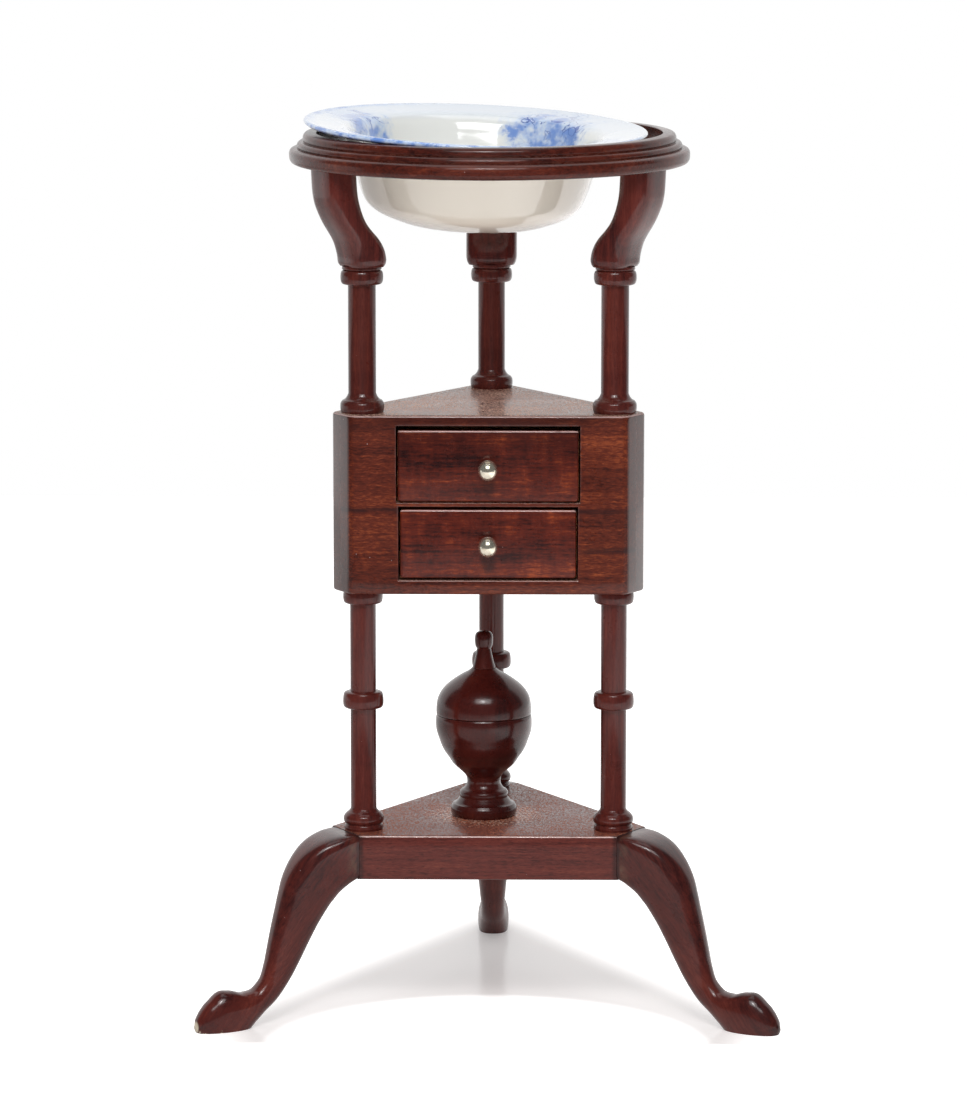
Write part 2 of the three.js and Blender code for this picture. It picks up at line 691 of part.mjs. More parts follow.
function drawer(level, width, bottom, height, gapBelow, gapAbove) {
  const group = new THREE.Group();
  const outside = width / 2 - drawerSideGap;
  const front = -caseInradius + drawerFrontRecess;
  const inner = front + drawerFrontBoard;
  const back = drawerBack(width);
  const floor = bottom + runningGap;
  const top = bottom + height - drawerHeadroom;
  const z0 = bottom + gapBelow;
  const z1 = bottom + height - gapAbove;

  const panel = roundedPrism(
    [[-outside, z0], [outside, z0], [outside, z1], [-outside, z1]],
    0, drawerFrontBoard + drawerEdgeRadius, 2 * drawerEdgeRadius, drawerEdgeRadius,
  );
  const behind = block(-width, width, z0 - height, z1 + height, -cutOverrun, drawerEdgeRadius);
  const upright = mesh('panel', cut(panel, behind), caseMahogany).geometry;
  upright.rotateX(Math.PI / 2).translate(0, inner + drawerEdgeRadius, 0);
  const knobLevel = bottom + height / 2 - runningGap;
  const shankHole = rod(knobShankRadius + dowelGap / 2, -cutOverrun, 2 * drawerFrontBoard, knobSides);
  const holeShape = mesh('hole', shankHole, nickel).geometry;
  holeShape.rotateX(Math.PI / 2).translate(0, inner, knobLevel);
  const grooveFloor = floor + drawerBottomLift;
  const groove = block(
    -outside + drawerSideBoard - drawerGroove, outside - drawerSideBoard + drawerGroove,
    inner - drawerGroove, back + cutOverrun, grooveFloor, grooveFloor + drawerBottomBoard,
  );

  const tailLevels = drawerTailLevelShares.map((share) => floor + share * (top - floor));
  const between = outside - drawerSideBoard - jointGap;
  const sockets = tailLevels.flatMap((at) => [
    dovetail(between, outside + cutOverrun, inner, at, jointGap),
    dovetail(-outside - cutOverrun, -between, inner, at, jointGap),
  ]);
  const face = cut(solid(upright), solid(holeShape), groove, ...sockets);
  group.add(mesh(`${level}_drawer_front`, face, caseMahogany));

  for (const [side, sign] of [['left', -1], ['right', 1]]) {
    const a = sign * outside;
    const b = sign * (outside - drawerSideBoard);
    const [x0, x1] = [Math.min(a, b), Math.max(a, b)];
    const board = block(x0, x1, inner + jointGap, back, floor, top);
    const tails = tailLevels.map((at) => dovetail(x0 + jointGap / 2, x1 - jointGap / 2, inner, at, 0));
    group.add(mesh(`${level}_drawer_side_${side}`, cut(join(board, ...tails), groove), innerWood));
  }
  const rear = block(
    -between, between, back - drawerSideBoard, back, grooveFloor + drawerBottomBoard + jointGap, top,
  );
  group.add(mesh(`${level}_drawer_back`, rear, innerWood));
  const tongue = drawerGroove - jointGap;
  const base = block(
    -outside + drawerSideBoard - tongue, outside - drawerSideBoard + tongue,
    inner - tongue, back - jointGap, grooveFloor + jointGap / 2, grooveFloor + drawerBottomBoard - jointGap / 2,
  );
  group.add(mesh(`${level}_drawer_bottom`, base, innerWood));

  const fitting = new THREE.Group();
  fitting.rotation.x = Math.PI / 2;
  put(fitting, mesh(`${level}_knob`, knobShape(), nickel), 0, 0, jointGap);
  put(fitting, mesh(`${level}_knob_nut`, knobNutShape(), nickel), 0, 0,
    -drawerFrontBoard - knobNutLength - jointGap);
  put(group, fitting, 0, front, knobLevel);
  return group;
}

// The lean of the top ring about its own middle, at its underside.
function ringPlace() {
  const lean = new THREE.Matrix4().makeRotationX(THREE.MathUtils.degToRad(ringLean));
  return lean.setPosition(0, 0, ringLevel);
}

function bracketShape(angle, foot) {
  const lean = ringPlace();
  const [x, y] = polar(bracketTopRadius, angle);
  const seat = new THREE.Vector3(x, y, 0).applyMatrix4(lean);
  const rise = seat.z - foot;
  const over = bracketWidth;
  const run = bracketTopRadius - columnCircleRadius;
  const path = new THREE.CatmullRomCurve3(bracketSectionShares.map(([up, out]) => (
    new THREE.Vector3(columnCircleRadius + out * run, 0, foot + up * rise))));
  const sizes = new THREE.CatmullRomCurve3(bracketSectionShares.map(([, , depth, width]) => (
    new THREE.Vector3(depth * bracketDepth, width * bracketWidth, 0))));
  const rings = Array.from({ length: bracketSteps + 1 }, (_, i) => {
    const middle = path.getPoint(i / bracketSteps);
    const size = sizes.getPoint(i / bracketSteps);
    return section(size.x, size.y, bracketSquarenessShare, bracketSides).map(([deep, wide]) => (
      new THREE.Vector3(middle.x + deep, wide, middle.z)));
  });
  const extra = rings[rings.length - 1].map((point) => point.clone().setZ(point.z + cutOverrun));
  const body = solid(loft([...rings, extra]).rotateZ(THREE.MathUtils.degToRad(angle)));

  const above = new THREE.BoxGeometry(2 * over, 2 * over, 2 * cutOverrun);
  above.translate(x, y, cutOverrun - jointGap).applyMatrix4(lean);
  const dowel = new THREE.CylinderGeometry(
    bracketDowelRadius, bracketDowelRadius, 2 * bracketDowelLength, dowelSides,
  );
  dowel.rotateX(Math.PI / 2).translate(x, y, 0).applyMatrix4(lean);
  const footSocket = socket(...polar(columnCircleRadius, angle), foot - cutOverrun, foot + dowelLength + dowelGap);
  return cut(join(cut(body, solid(above)), solid(dowel)), footSocket);
}

function ringShape() {
  const floor = ringThickness - ringRebateDepth;
  const edge = ringMouldingShares.map(([inward, up]) => (
    [ringRadius - inward * ringMouldingWidth, up * ringThickness]));
  const body = turned([
    [ringBoreRadius, 0],
    ...edge,
    [ringRebateRadius, ringThickness],
    [ringRebateRadius, floor],
    [ringBoreRadius, floor],
    [ringBoreRadius, 0],
  ], ringSides);
  const holes = legs().map(([, angle]) => {
    const [x, y] = polar(bracketTopRadius, angle);
    const radius = bracketDowelRadius + dowelGap;
    const depth = bracketDowelLength + dowelGap;
    const hole = new THREE.CylinderGeometry(radius, radius, 2 * depth, dowelSides);
    return solid(hole.rotateX(Math.PI / 2).translate(x, y, 0));
  });
  return cut(body, ...holes);
}

function basinShape() {
  return turned(outline(basinOutlineShares, basinRimRadius, 0, basinDepth), basinSides);
}

function urnBodyShape() {
  const height = urnBodyHeight;
  const body = turned([
    [0, -urnDowelLength],
    [urnDowelRadius, -urnDowelLength],
    [urnDowelRadius, 0],
    ...outline(urnBodyShares, urnRadius, 0, height),
    [0, height],
  ], urnSides);
  const depth = urnWellDepth;
  const well = turned([
    [0, height + cutOverrun],
    [urnMouthRadius, height + cutOverrun],
    ...urnWellShares.map(([across, down]) => [across * urnMouthRadius, height - down * depth]),
  ], urnSides);
  return cut(body, well);
}

function urnLidShape() {
  const height = urnLidHeight;
  const spigot = urnMouthRadius - jointGap;
  const bore = spigot - urnSpigotWall;
  const body = join(
    turned([[0, jointGap], ...outline(urnLidShares, urnRadius, jointGap, height), [0, height + jointGap]], urnSides),
    rod(spigot, -urnSpigotDepth, 2 * jointGap, urnSides),
  );
  const hollow = turned([
    [0, -cutOverrun],
    [bore, -cutOverrun],
    ...outline(urnLidBoreShares, bore, 0, urnLidBoreDepth),
  ], urnSides);
  const hole = rod(
    finialDowelRadius + dowelGap / 2, height - finialDowelLength - dowelGap, height + cutOverrun, dowelSides,
  );
  return cut(body, hollow, hole);
}

function finialShape() {
  const height = finialTop - urnLidTop;
  return turned([
    [0, -finialDowelLength],
    [finialDowelRadius, -finialDowelLength],
    [finialDowelRadius, jointGap],
    ...outline(finialShares, finialNeckRadius, jointGap, height),
  ], columnSides);
}

function addTripod(stand) {
  const shape = legShape();
  stand.add(mesh('platform', platformShape(), mahogany));
  for (const [name, angle] of legs()) {
    const place = new THREE.Group();
    place.rotation.z = THREE.MathUtils.degToRad(angle);
    place.add(mesh(`leg_${name}`, shape, mahogany));
    stand.add(place);
  }
}

function addColumns(stand) {
  for (const [name, angle] of legs()) {
    const [x, y] = polar(columnCircleRadius, angle);
    const capitalTop = name === 'back' ? backCapitalTop : frontCapitalTop;
    const collarLevel = name === 'back' ? backCollarLevel : frontCollarLevel;
    put(stand, mesh(`lower_column_${name}`, lowerColumnShape(collarLevel), mahogany), x, y, platformTop);
    put(stand, mesh(`upper_column_${name}`, upperColumnShape(capitalTop), mahogany), x, y, caseTop);
    stand.add(mesh(`bracket_${name}`, bracketShape(angle, capitalTop), mahogany));
  }
}

function addCase(stand) {
  const inner = addCaseBoards(stand);
  addRunners(stand, inner, 'lower', lowerOpeningWidth, lowerOpeningBottom);
  addRunners(stand, inner, 'upper', upperOpeningWidth, upperOpeningBottom);
  stand.add(drawer(
    'lower', lowerOpeningWidth, lowerOpeningBottom, lowerOpeningHeight, lowerFrontGapBelow, lowerFrontGapAbove,
  ));
  stand.add(drawer(
    'upper', upperOpeningWidth, upperOpeningBottom, upperOpeningHeight, upperFrontGapBelow, upperFrontGapAbove,
  ));
}

function addUrn(stand) {
  put(stand, mesh('urn_body', urnBodyShape(), mahogany), urnShiftX, 0, platformTop);
  put(stand, mesh('urn_lid', urnLidShape(), mahogany), urnShiftX, 0, urnSeamLevel);
  put(stand, mesh('urn_finial', finialShape(), mahogany), urnShiftX, 0, urnLidTop + jointGap);
}

function addTop(stand) {
  const ring = mesh('top_ring', ringShape(), mahogany);
  ring.applyMatrix4(ringPlace());
  stand.add(ring);
  const basin = mesh('basin', basinShape(), porcelain);
  basin.rotation.set(THREE.MathUtils.degToRad(basinLeanFront), THREE.MathUtils.degToRad(basinLeanRight), 0);
  put(stand, basin, basinShiftX, basinShiftY, basinRimLevel);
}

// The origin lies on the floor, under the middle of the stand's outline.
function washstand() {
  const stand = new THREE.Group();
  addTripod(stand);
  addColumns(stand);
  addCase(stand);
  addUrn(stand);
  addTop(stand);
  stand.position.y = -(legReach - ringRadius) / 2;
  const part = new THREE.Group();
  part.add(stand);
  part.updateMatrixWorld(true);
  return part;
}

export default washstand();
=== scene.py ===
"""Tripod washstand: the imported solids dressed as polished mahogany, porcelain and nickel.

Sizes are in millimetres until a piece is set in the scene, which scales its mesh to metres. Heights
count up from the floor, radii out from the tripod's axis, and the front faces -Y.
"""

import logging
import math
from dataclasses import dataclass, field
from enum import Enum
from typing import Callable, Iterable, Sequence

import bmesh
import bpy
from mathutils import Matrix, Vector
from mathutils.kdtree import KDTree


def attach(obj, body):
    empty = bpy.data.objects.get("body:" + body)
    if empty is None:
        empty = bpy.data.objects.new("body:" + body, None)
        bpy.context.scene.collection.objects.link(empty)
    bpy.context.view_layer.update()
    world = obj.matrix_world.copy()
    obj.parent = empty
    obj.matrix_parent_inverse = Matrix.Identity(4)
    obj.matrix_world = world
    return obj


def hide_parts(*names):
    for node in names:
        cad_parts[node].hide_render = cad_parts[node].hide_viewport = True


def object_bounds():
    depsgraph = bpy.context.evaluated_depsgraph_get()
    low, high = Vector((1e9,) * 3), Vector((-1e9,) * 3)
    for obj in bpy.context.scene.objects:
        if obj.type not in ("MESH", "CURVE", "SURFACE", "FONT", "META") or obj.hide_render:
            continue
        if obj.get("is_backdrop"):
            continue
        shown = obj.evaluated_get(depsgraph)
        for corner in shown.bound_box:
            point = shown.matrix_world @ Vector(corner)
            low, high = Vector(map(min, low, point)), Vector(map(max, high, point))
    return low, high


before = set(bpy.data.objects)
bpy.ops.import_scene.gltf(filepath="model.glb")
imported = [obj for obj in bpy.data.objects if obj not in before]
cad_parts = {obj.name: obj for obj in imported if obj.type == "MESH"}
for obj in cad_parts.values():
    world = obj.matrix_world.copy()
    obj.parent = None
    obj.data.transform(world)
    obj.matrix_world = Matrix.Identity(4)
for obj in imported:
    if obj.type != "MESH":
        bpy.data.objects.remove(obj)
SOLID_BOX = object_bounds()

logging.basicConfig(level=logging.INFO, format="%(message)s")
LOG = logging.getLogger("washstand")

MM = 0.001
MERGE = 0.002
Color = tuple[float, float, float]
Pair = tuple[float, float]
Run = tuple[Pair, ...]
Row = tuple[float, ...]
Inputs = dict[int | str, object]
BMesh = bmesh.types.BMesh
Edge = bmesh.types.BMEdge
Material = bpy.types.Material
NOWHERE: Row = (0.0, 0.0, 0.0)
UP = Vector((0, 0, 1))
ALONG_X: Row = (1, 0, 0)
ALONG_Y: Row = (0, 1, 0)


class Body(Enum):
    """The bodies that the pieces ride on."""

    STAND = "stand"
    LOWER_DRAWER = "lower_drawer"
    UPPER_DRAWER = "upper_drawer"
    URN_COVER = "urn_cover"
    BASIN = "wash_basin"


class Slot(Enum):
    """The material slots of the record."""

    MAHOGANY = "mahogany"
    CASE = "case_mahogany"
    PORCELAIN = "porcelain"
    NICKEL = "nickel"


def srgb(red: int, green: int, blue: int) -> Color:
    """A colour, 0 to 255 a channel, as the linear light that shaders take.

    Args:
        red: Red, 0 to 255.
        green: Green, 0 to 255.
        blue: Blue, 0 to 255.

    Returns:
        The linear colour, 0 to 1 a channel.
    """
    def linear(value: int) -> float:
        """One channel as linear light."""
        share = value / 255
        return share / 12.92 if share <= 0.04045 else ((share + 0.055) / 1.055) ** 2.4

    return linear(red), linear(green), linear(blue)


# The plan that all sub-assemblies share


@dataclass(frozen=True)
class Plan:
    """The tripod's plan: its axis, the three corners and the circle of the columns."""

    leg_reach: float = 293.5
    ring_radius: float = 175.8
    column_circle: float = 127.02
    platform_top: float = 165.0
    case_bottom: float = 378.0
    case_top: float = 535.0
    joint_gap: float = 0.3
    urn_shift: float = -5.0
    case_inradius: float = 89.01
    corners: tuple[tuple[str, float], ...] = (("left", 210.0), ("right", 330.0), ("back", 90.0))

    @property
    def axis(self) -> Vector:
        """The tripod's axis on the floor."""
        return Vector((0.0, -(self.leg_reach - self.ring_radius) / 2, 0.0))

    @property
    def ways(self) -> list[Row]:
        """The directions of the three corners."""
        return [(math.cos(math.radians(angle)), math.sin(math.radians(angle)), 0.0) for _, angle in self.corners]

    def turned(self, angle: float) -> Matrix:
        """The move from beside the origin to the tripod's axis, turned by an angle in degrees."""
        return Matrix.Translation(self.axis) @ turned_about_z(angle)

    def spot(self, radius: float, angle: float, level: float = 0.0) -> Vector:
        """A place in the plan.

        Args:
            radius: Distance from the tripod's axis.
            angle: Direction in degrees, from +X towards +Y.
            level: Height over the floor.

        Returns:
            The place in the object's frame, in millimetres.
        """
        turn = math.radians(angle)
        return self.axis + Vector((radius * math.cos(turn), radius * math.sin(turn), level))


PLAN = Plan()


def turned_about_z(angle: float) -> Matrix:
    """The turn by an angle in degrees about Z."""
    return Matrix.Rotation(math.radians(angle), 4, "Z")


def at(radius: float, level: float) -> Vector:
    """A point of an outline in the XZ plane."""
    return Vector((radius, 0.0, level))


# Shapes


def on_curve(points: Sequence[Vector], share: float) -> Vector:
    """A point on the smooth curve through some points, which keeps sharp turns from overshooting.

    Args:
        points: The points that the curve passes.
        share: Way along the curve, 0 to 1, each gap between points counting alike.

    Returns:
        The point on the curve.
    """
    last = len(points) - 1
    way = min(max(share, 0.0), 1.0) * last
    i = min(int(way), last - 1)
    w = way - i
    p1, p2 = points[i], points[i + 1]
    p0 = points[i - 1] if i > 0 else 2 * p1 - p2
    p3 = points[i + 2] if i + 2 <= last else 2 * p2 - p1
    d0, d1, d2 = (max((b - a).length ** 0.5, 1e-4) for a, b in ((p0, p1), (p1, p2), (p2, p3)))
    t1 = ((p1 - p0) / d0 - (p2 - p0) / (d0 + d1) + (p2 - p1) / d1) * d1
    t2 = ((p2 - p1) / d1 - (p3 - p1) / (d1 + d2) + (p3 - p2) / d2) * d1
    return p1 + t1 * w + (3 * (p2 - p1) - 2 * t1 - t2) * w * w + (2 * (p1 - p2) + t1 + t2) * w ** 3


def smooth(points: Sequence[Vector], steps: int) -> list[Vector]:
    """The smooth curve through some points, drawn in even steps."""
    return [on_curve(points, step / steps) for step in range(steps + 1)]


def outline(runs: Sequence[Run], radius: float, start: float, height: float, fine: int = 5) -> list[Vector]:
    """A turned outline made of smooth runs that meet in sharp corners.

    Args:
        runs: Runs of points, each a share of the radius and a share of the height.
        radius: The radius that a share of 1 stands for.
        start: The height of a share of 0.
        height: The height from a share of 0 to a share of 1.
        fine: How many steps each gap between points is drawn in.

    Returns:
        The outline's points, radius in x and height in z.
    """
    drawn: list[Vector] = []
    for run in runs:
        points = [at(across * radius, start + up * height) for across, up in run]
        drawn += smooth(points, fine * (len(points) - 1) if len(points) > 2 else 1)
    return drawn


def turn(points: Sequence[Vector], steps: int) -> BMesh:
    """Spins an outline round the Z axis into a closed solid.

    Args:
        points: The outline, from the axis to the axis, or closed on itself.
        steps: How many faces go round.

    Returns:
        The solid's mesh.
    """
    bm = bmesh.new()
    verts = [bm.verts.new((max(point.x, 0.0), 0.0, point.z)) for point in points]
    edges = [bm.edges.new(pair) for pair in zip(verts, verts[1:])]
    bmesh.ops.spin(
        bm, geom=[*verts, *edges], cent=(0, 0, 0), axis=(0, 0, 1), dvec=(0, 0, 0),
        angle=math.tau, steps=steps, use_merge=True, use_duplicate=False,
    )
    bmesh.ops.remove_doubles(bm, verts=bm.verts[:], dist=MERGE)
    bmesh.ops.dissolve_degenerate(bm, dist=MERGE / 2, edges=bm.edges[:])
    return bm


def loft(rings: Sequence[Sequence[Vector]]) -> BMesh:
    """Bridges rings of equally many points into a closed solid.

    Args:
        rings: The rings, each a list of points in order.

    Returns:
        The solid's mesh.
    """
    bm = bmesh.new()
    loops: list[list[Edge]] = []
    for ring in rings:
        made = bmesh.ops.create_circle(bm, cap_ends=False, radius=1.0, segments=len(ring))["verts"]
        for vert, place in zip(made, ring):
            vert.co = place
        loops.append(list({edge for vert in made for edge in vert.link_edges}))
    for low, high in zip(loops, loops[1:]):
        bmesh.ops.bridge_loops(bm, edges=[*low, *high])
    fill(bm)
    return bm


def fill(bm: BMesh) -> None:
    """Closes the open ends of a mesh."""
    bmesh.ops.holes_fill(bm, edges=[edge for edge in bm.edges if edge.is_boundary], sides=0)


def shear_off(bm: BMesh, place: Sequence[float], normal: Sequence[float]) -> None:
    """Cuts away what lies behind a plane and closes the cut.

    Args:
        bm: The mesh to cut.
        place: A point of the plane.
        normal: The plane's direction, towards what stays.
    """
    geom = [*bm.verts, *bm.edges, *bm.faces]
    bmesh.ops.bisect_plane(bm, geom=geom, plane_co=place, plane_no=normal, clear_inner=True)
    fill(bm)


def length_along(edge: Edge, axis: int = 2) -> float:
    """How far an edge's ends lie apart along an axis."""
    return abs(edge.verts[0].co[axis] - edge.verts[1].co[axis])


def round_edges(bm: BMesh, edges: Iterable[Edge], radius: float, segments: int) -> None:
    """Rounds some edges of a mesh.

    Args:
        bm: The mesh.
        edges: The edges to round.
        radius: How far the rounding reaches from the edge.
        segments: How many faces make the rounding.
    """
    bmesh.ops.bevel(
        bm, geom=list(edges), offset=radius, offset_type="OFFSET", segments=segments, profile=0.5,
        affect="EDGES", clamp_overlap=True, material=-1,
    )


def upright_prism(plan: Sequence[Vector], low: float, high: float) -> BMesh:
    """A prism over a flat outline.

    Args:
        plan: The outline's points in order, whose height is left aside.
        low: The prism's lower level.
        high: The prism's upper level.

    Returns:
        The prism's mesh.
    """
    bm = bmesh.new()
    base = bm.faces.new([bm.verts.new((point.x, point.y, low)) for point in plan])
    grown = bmesh.ops.extrude_face_region(bm, geom=[base])["geom"]
    top = [item for item in grown if isinstance(item, bmesh.types.BMVert)]
    bmesh.ops.translate(bm, vec=(0, 0, high - low), verts=top)
    bmesh.ops.recalc_face_normals(bm, faces=bm.faces[:])
    return bm


def placed(bm: BMesh, matrix: Matrix) -> BMesh:
    """Moves a whole mesh by a matrix and gives it back."""
    bmesh.ops.transform(bm, matrix=matrix, verts=bm.verts[:])
    return bm


def soft_section(depth: float, width: float, squareness: float, sides: int) -> list[Pair]:
    """A section between an ellipse and a rectangle.

    Args:
        depth: Its size in the first direction.
        width: Its size in the second direction.
        squareness: 2 for an ellipse, and more for a squarer section.
        sides: How many points it has.

    Returns:
        The section's points in order.
    """
    def bend(value: float) -> float:
        """Pushes a circle's coordinate towards the rectangle's."""
        return math.copysign(abs(value) ** (2 / squareness), value)

    turns = (math.tau * (k + 0.5) / sides for k in range(sides))
    return [(depth / 2 * bend(math.cos(t)), width / 2 * bend(math.sin(t))) for t in turns]


def add_object(name: str, data: bpy.types.ID) -> bpy.types.Object:
    """A new object in the scene."""
    made = bpy.data.objects.new(name, data)
    bpy.context.scene.collection.objects.link(made)
    return made


def set_piece(
    name: str, bm: BMesh, material: Material, node: str, body: Body = Body.STAND, slot: Slot = Slot.MAHOGANY,
    crease: float = 32.0,
) -> None:
    """Makes a finished mesh a piece of the washstand.

    Args:
        name: The piece's name.
        bm: Its mesh in millimetres, in the object's frame. It is freed.
        material: Its material.
        node: The solid that it stands for.
        body: The body that it rides on.
        slot: Not used.
        crease: Edges that turn by more than this angle, in degrees, stay sharp.
    """
    bmesh.ops.remove_doubles(bm, verts=bm.verts[:], dist=MERGE)
    bmesh.ops.recalc_face_normals(bm, faces=bm.faces[:])
    bmesh.ops.scale(bm, vec=(MM, MM, MM), verts=bm.verts[:])
    mesh = bpy.data.meshes.new(name)
    bm.to_mesh(mesh)
    bm.free()
    mesh.shade_smooth()
    mesh.set_sharp_from_angle(angle=math.radians(crease))
    mesh.materials.append(material)
    piece = add_object(name, mesh)
    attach(piece, body.value)
    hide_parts(node)
    LOG.info("%s: %d faces for %s", name, len(mesh.polygons), node)


def dress(material: Material, *nodes: str) -> None:
    """Gives solids that stay as they are a material.

    Args:
        material: The material.
        *nodes: The solids' names.
    """
    for node in nodes:
        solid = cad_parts[node]
        solid.data.materials.clear()
        solid.data.materials.append(material)
        LOG.info("%s: dressed", node)


# Shader tools


class Wire:
    """A node's output, which sums can be done on as on a number."""

    def __init__(self, graph: "Graph", socket: bpy.types.NodeSocket) -> None:
        """Keeps the output and the graph that gets the sums' nodes."""
        self.graph, self.socket = graph, socket

    def __add__(self, other: object) -> "Wire":
        """The sum with a value or an output."""
        return self.graph.calc("ADD", self, other)

    def __sub__(self, other: object) -> "Wire":
        """The difference to a value or an output."""
        return self.graph.calc("SUBTRACT", self, other)

    def __mul__(self, other: object) -> "Wire":
        """The product with a value or an output."""
        return self.graph.calc("MULTIPLY", self, other)

    def __abs__(self) -> "Wire":
        """The value without its sign."""
        return self.graph.calc("ABSOLUTE", self)

    def sibling(self, key: str) -> "Wire":
        """Another output of the same node."""
        return Wire(self.graph, self.socket.node.outputs[key])

    def remap(self, low: float, high: float, to_low: float = 0.0, to_high: float = 1.0) -> "Wire":
        """The value moved smoothly from one span to another.

        Args:
            low: The value that becomes to_low.
            high: The value that becomes to_high.
            to_low: The start of the new span.
            to_high: The end of the new span.

        Returns:
            The moved value.
        """
        inputs = {0: self, 1: low, 2: high, 3: to_low, 4: to_high}
        return self.graph.wire("ShaderNodeMapRange", 0, inputs, interpolation_type="SMOOTHSTEP")


class Graph:
    """Adds nodes to a node tree and links them."""

    def __init__(self, tree: bpy.types.NodeTree) -> None:
        """Keeps the tree that the nodes go to."""
        self.tree = tree

    def feed(self, node: bpy.types.Node, inputs: Inputs) -> bpy.types.Node:
        """Fills a node's sockets.

        Args:
            node: The node.
            inputs: What goes into its sockets, by name or number: a value, or another node's output.

        Returns:
            The node.
        """
        for key, value in inputs.items():
            if isinstance(value, Wire):
                self.tree.links.new(value.socket, node.inputs[key])
            else:
                node.inputs[key].default_value = value
        return node

    def add(self, kind: str, inputs: Inputs | None = None, **settings: object) -> bpy.types.Node:
        """A new node.

        Args:
            kind: The node's type.
            inputs: What goes into its sockets.
            **settings: The node's own settings.

        Returns:
            The node.
        """
        node = self.tree.nodes.new(kind)
        for key, value in settings.items():
            setattr(node, key, value)
        return self.feed(node, inputs or {})

    def wire(self, kind: str, key: int | str, inputs: Inputs | None = None, **settings: object) -> Wire:
        """One output of a new node."""
        return Wire(self, self.add(kind, inputs, **settings).outputs[key])

    def calc(self, operation: str, first: object, second: object = 0.0, clamp: bool = False) -> Wire:
        """The result of a sum on two values, kept between 0 and 1 if it is clamped."""
        return self.wire("ShaderNodeMath", 0, {0: first, 1: second}, operation=operation, use_clamp=clamp)

    def vector(self, operation: str, first: object, second: Wire | Row = NOWHERE, key: str = "Vector") -> Wire:
        """The result of a sum on two vectors, whose key is Value where it is a number."""
        return self.wire("ShaderNodeVectorMath", key, {0: first, 1: second}, operation=operation)

    def split(self, value: Wire, kind: str = "XYZ") -> list[Wire]:
        """The three parts of a vector, or of a colour where the kind is Color."""
        return [Wire(self, part) for part in self.add(f"ShaderNodeSeparate{kind}", {0: value}).outputs]

    def blend(self, share: object, first: Wire | Row, second: Wire | Row) -> Wire:
        """Two colours mixed.

        Args:
            share: How much of the second colour is taken.
            first: A colour or an output.
            second: A colour or an output.

        Returns:
            The mixed colour.
        """
        colors = [(*c, 1.0) if isinstance(c, tuple) and len(c) == 3 else c for c in (first, second)]
        return self.wire("ShaderNodeMix", 2, {0: share, 6: colors[0], 7: colors[1]}, data_type="RGBA")

    def noise(self, place: Wire, size: float | Row, detail: float = 3.0, rough: float = 0.5) -> Wire:
        """A noise that may be stretched along the axes.

        Args:
            place: The place.
            size: How many lumps lie on a metre, along each axis where there are three numbers.
            detail: How many finer layers it has.
            rough: How strong these layers are.

        Returns:
            The noise's value, whose sibling is its Color.
        """
        lumps = size if isinstance(size, tuple) else (size, size, size)
        inputs = {"Vector": self.vector("MULTIPLY", place, lumps), "Scale": 1.0, "Detail": detail, "Roughness": rough}
        return self.wire("ShaderNodeTexNoise", 0, inputs)


Inner = dict[str, Wire]


class Effect:
    """A shader node group that is built once and placed in each material that needs it."""

    def __init__(
        self, name: str, inputs: Inputs, outputs: Sequence[str], build: Callable[[Graph, Inner], Inner],
    ) -> None:
        """Makes the group.

        Args:
            name: The group's name.
            inputs: Its inputs: a number for a value, three numbers for a vector, four for a colour.
            outputs: Its outputs, of which Color is a colour and the others are values.
            build: Gets the graph and the group's inputs, and gives what goes to its outputs.
        """
        kinds = {3: "NodeSocketVector", 4: "NodeSocketColor"}
        self.tree = bpy.data.node_groups.new(name, "ShaderNodeTree")
        for key, value in inputs.items():
            kind = kinds[len(value)] if isinstance(value, tuple) else "NodeSocketFloat"
            self.tree.interface.new_socket(key, in_out="INPUT", socket_type=kind).default_value = value
        for key in outputs:
            kind = "NodeSocketColor" if key == "Color" else "NodeSocketFloat"
            self.tree.interface.new_socket(key, in_out="OUTPUT", socket_type=kind)
        graph = Graph(self.tree)
        given = graph.add("NodeGroupInput")
        graph.add("NodeGroupOutput", build(graph, {key: Wire(graph, given.outputs[key]) for key in inputs}))

    def placed(self, graph: Graph, inputs: Inputs) -> Wire:
        """The group as a node in a material, by its first output."""
        return graph.wire("ShaderNodeGroup", 0, inputs, node_tree=self.tree)


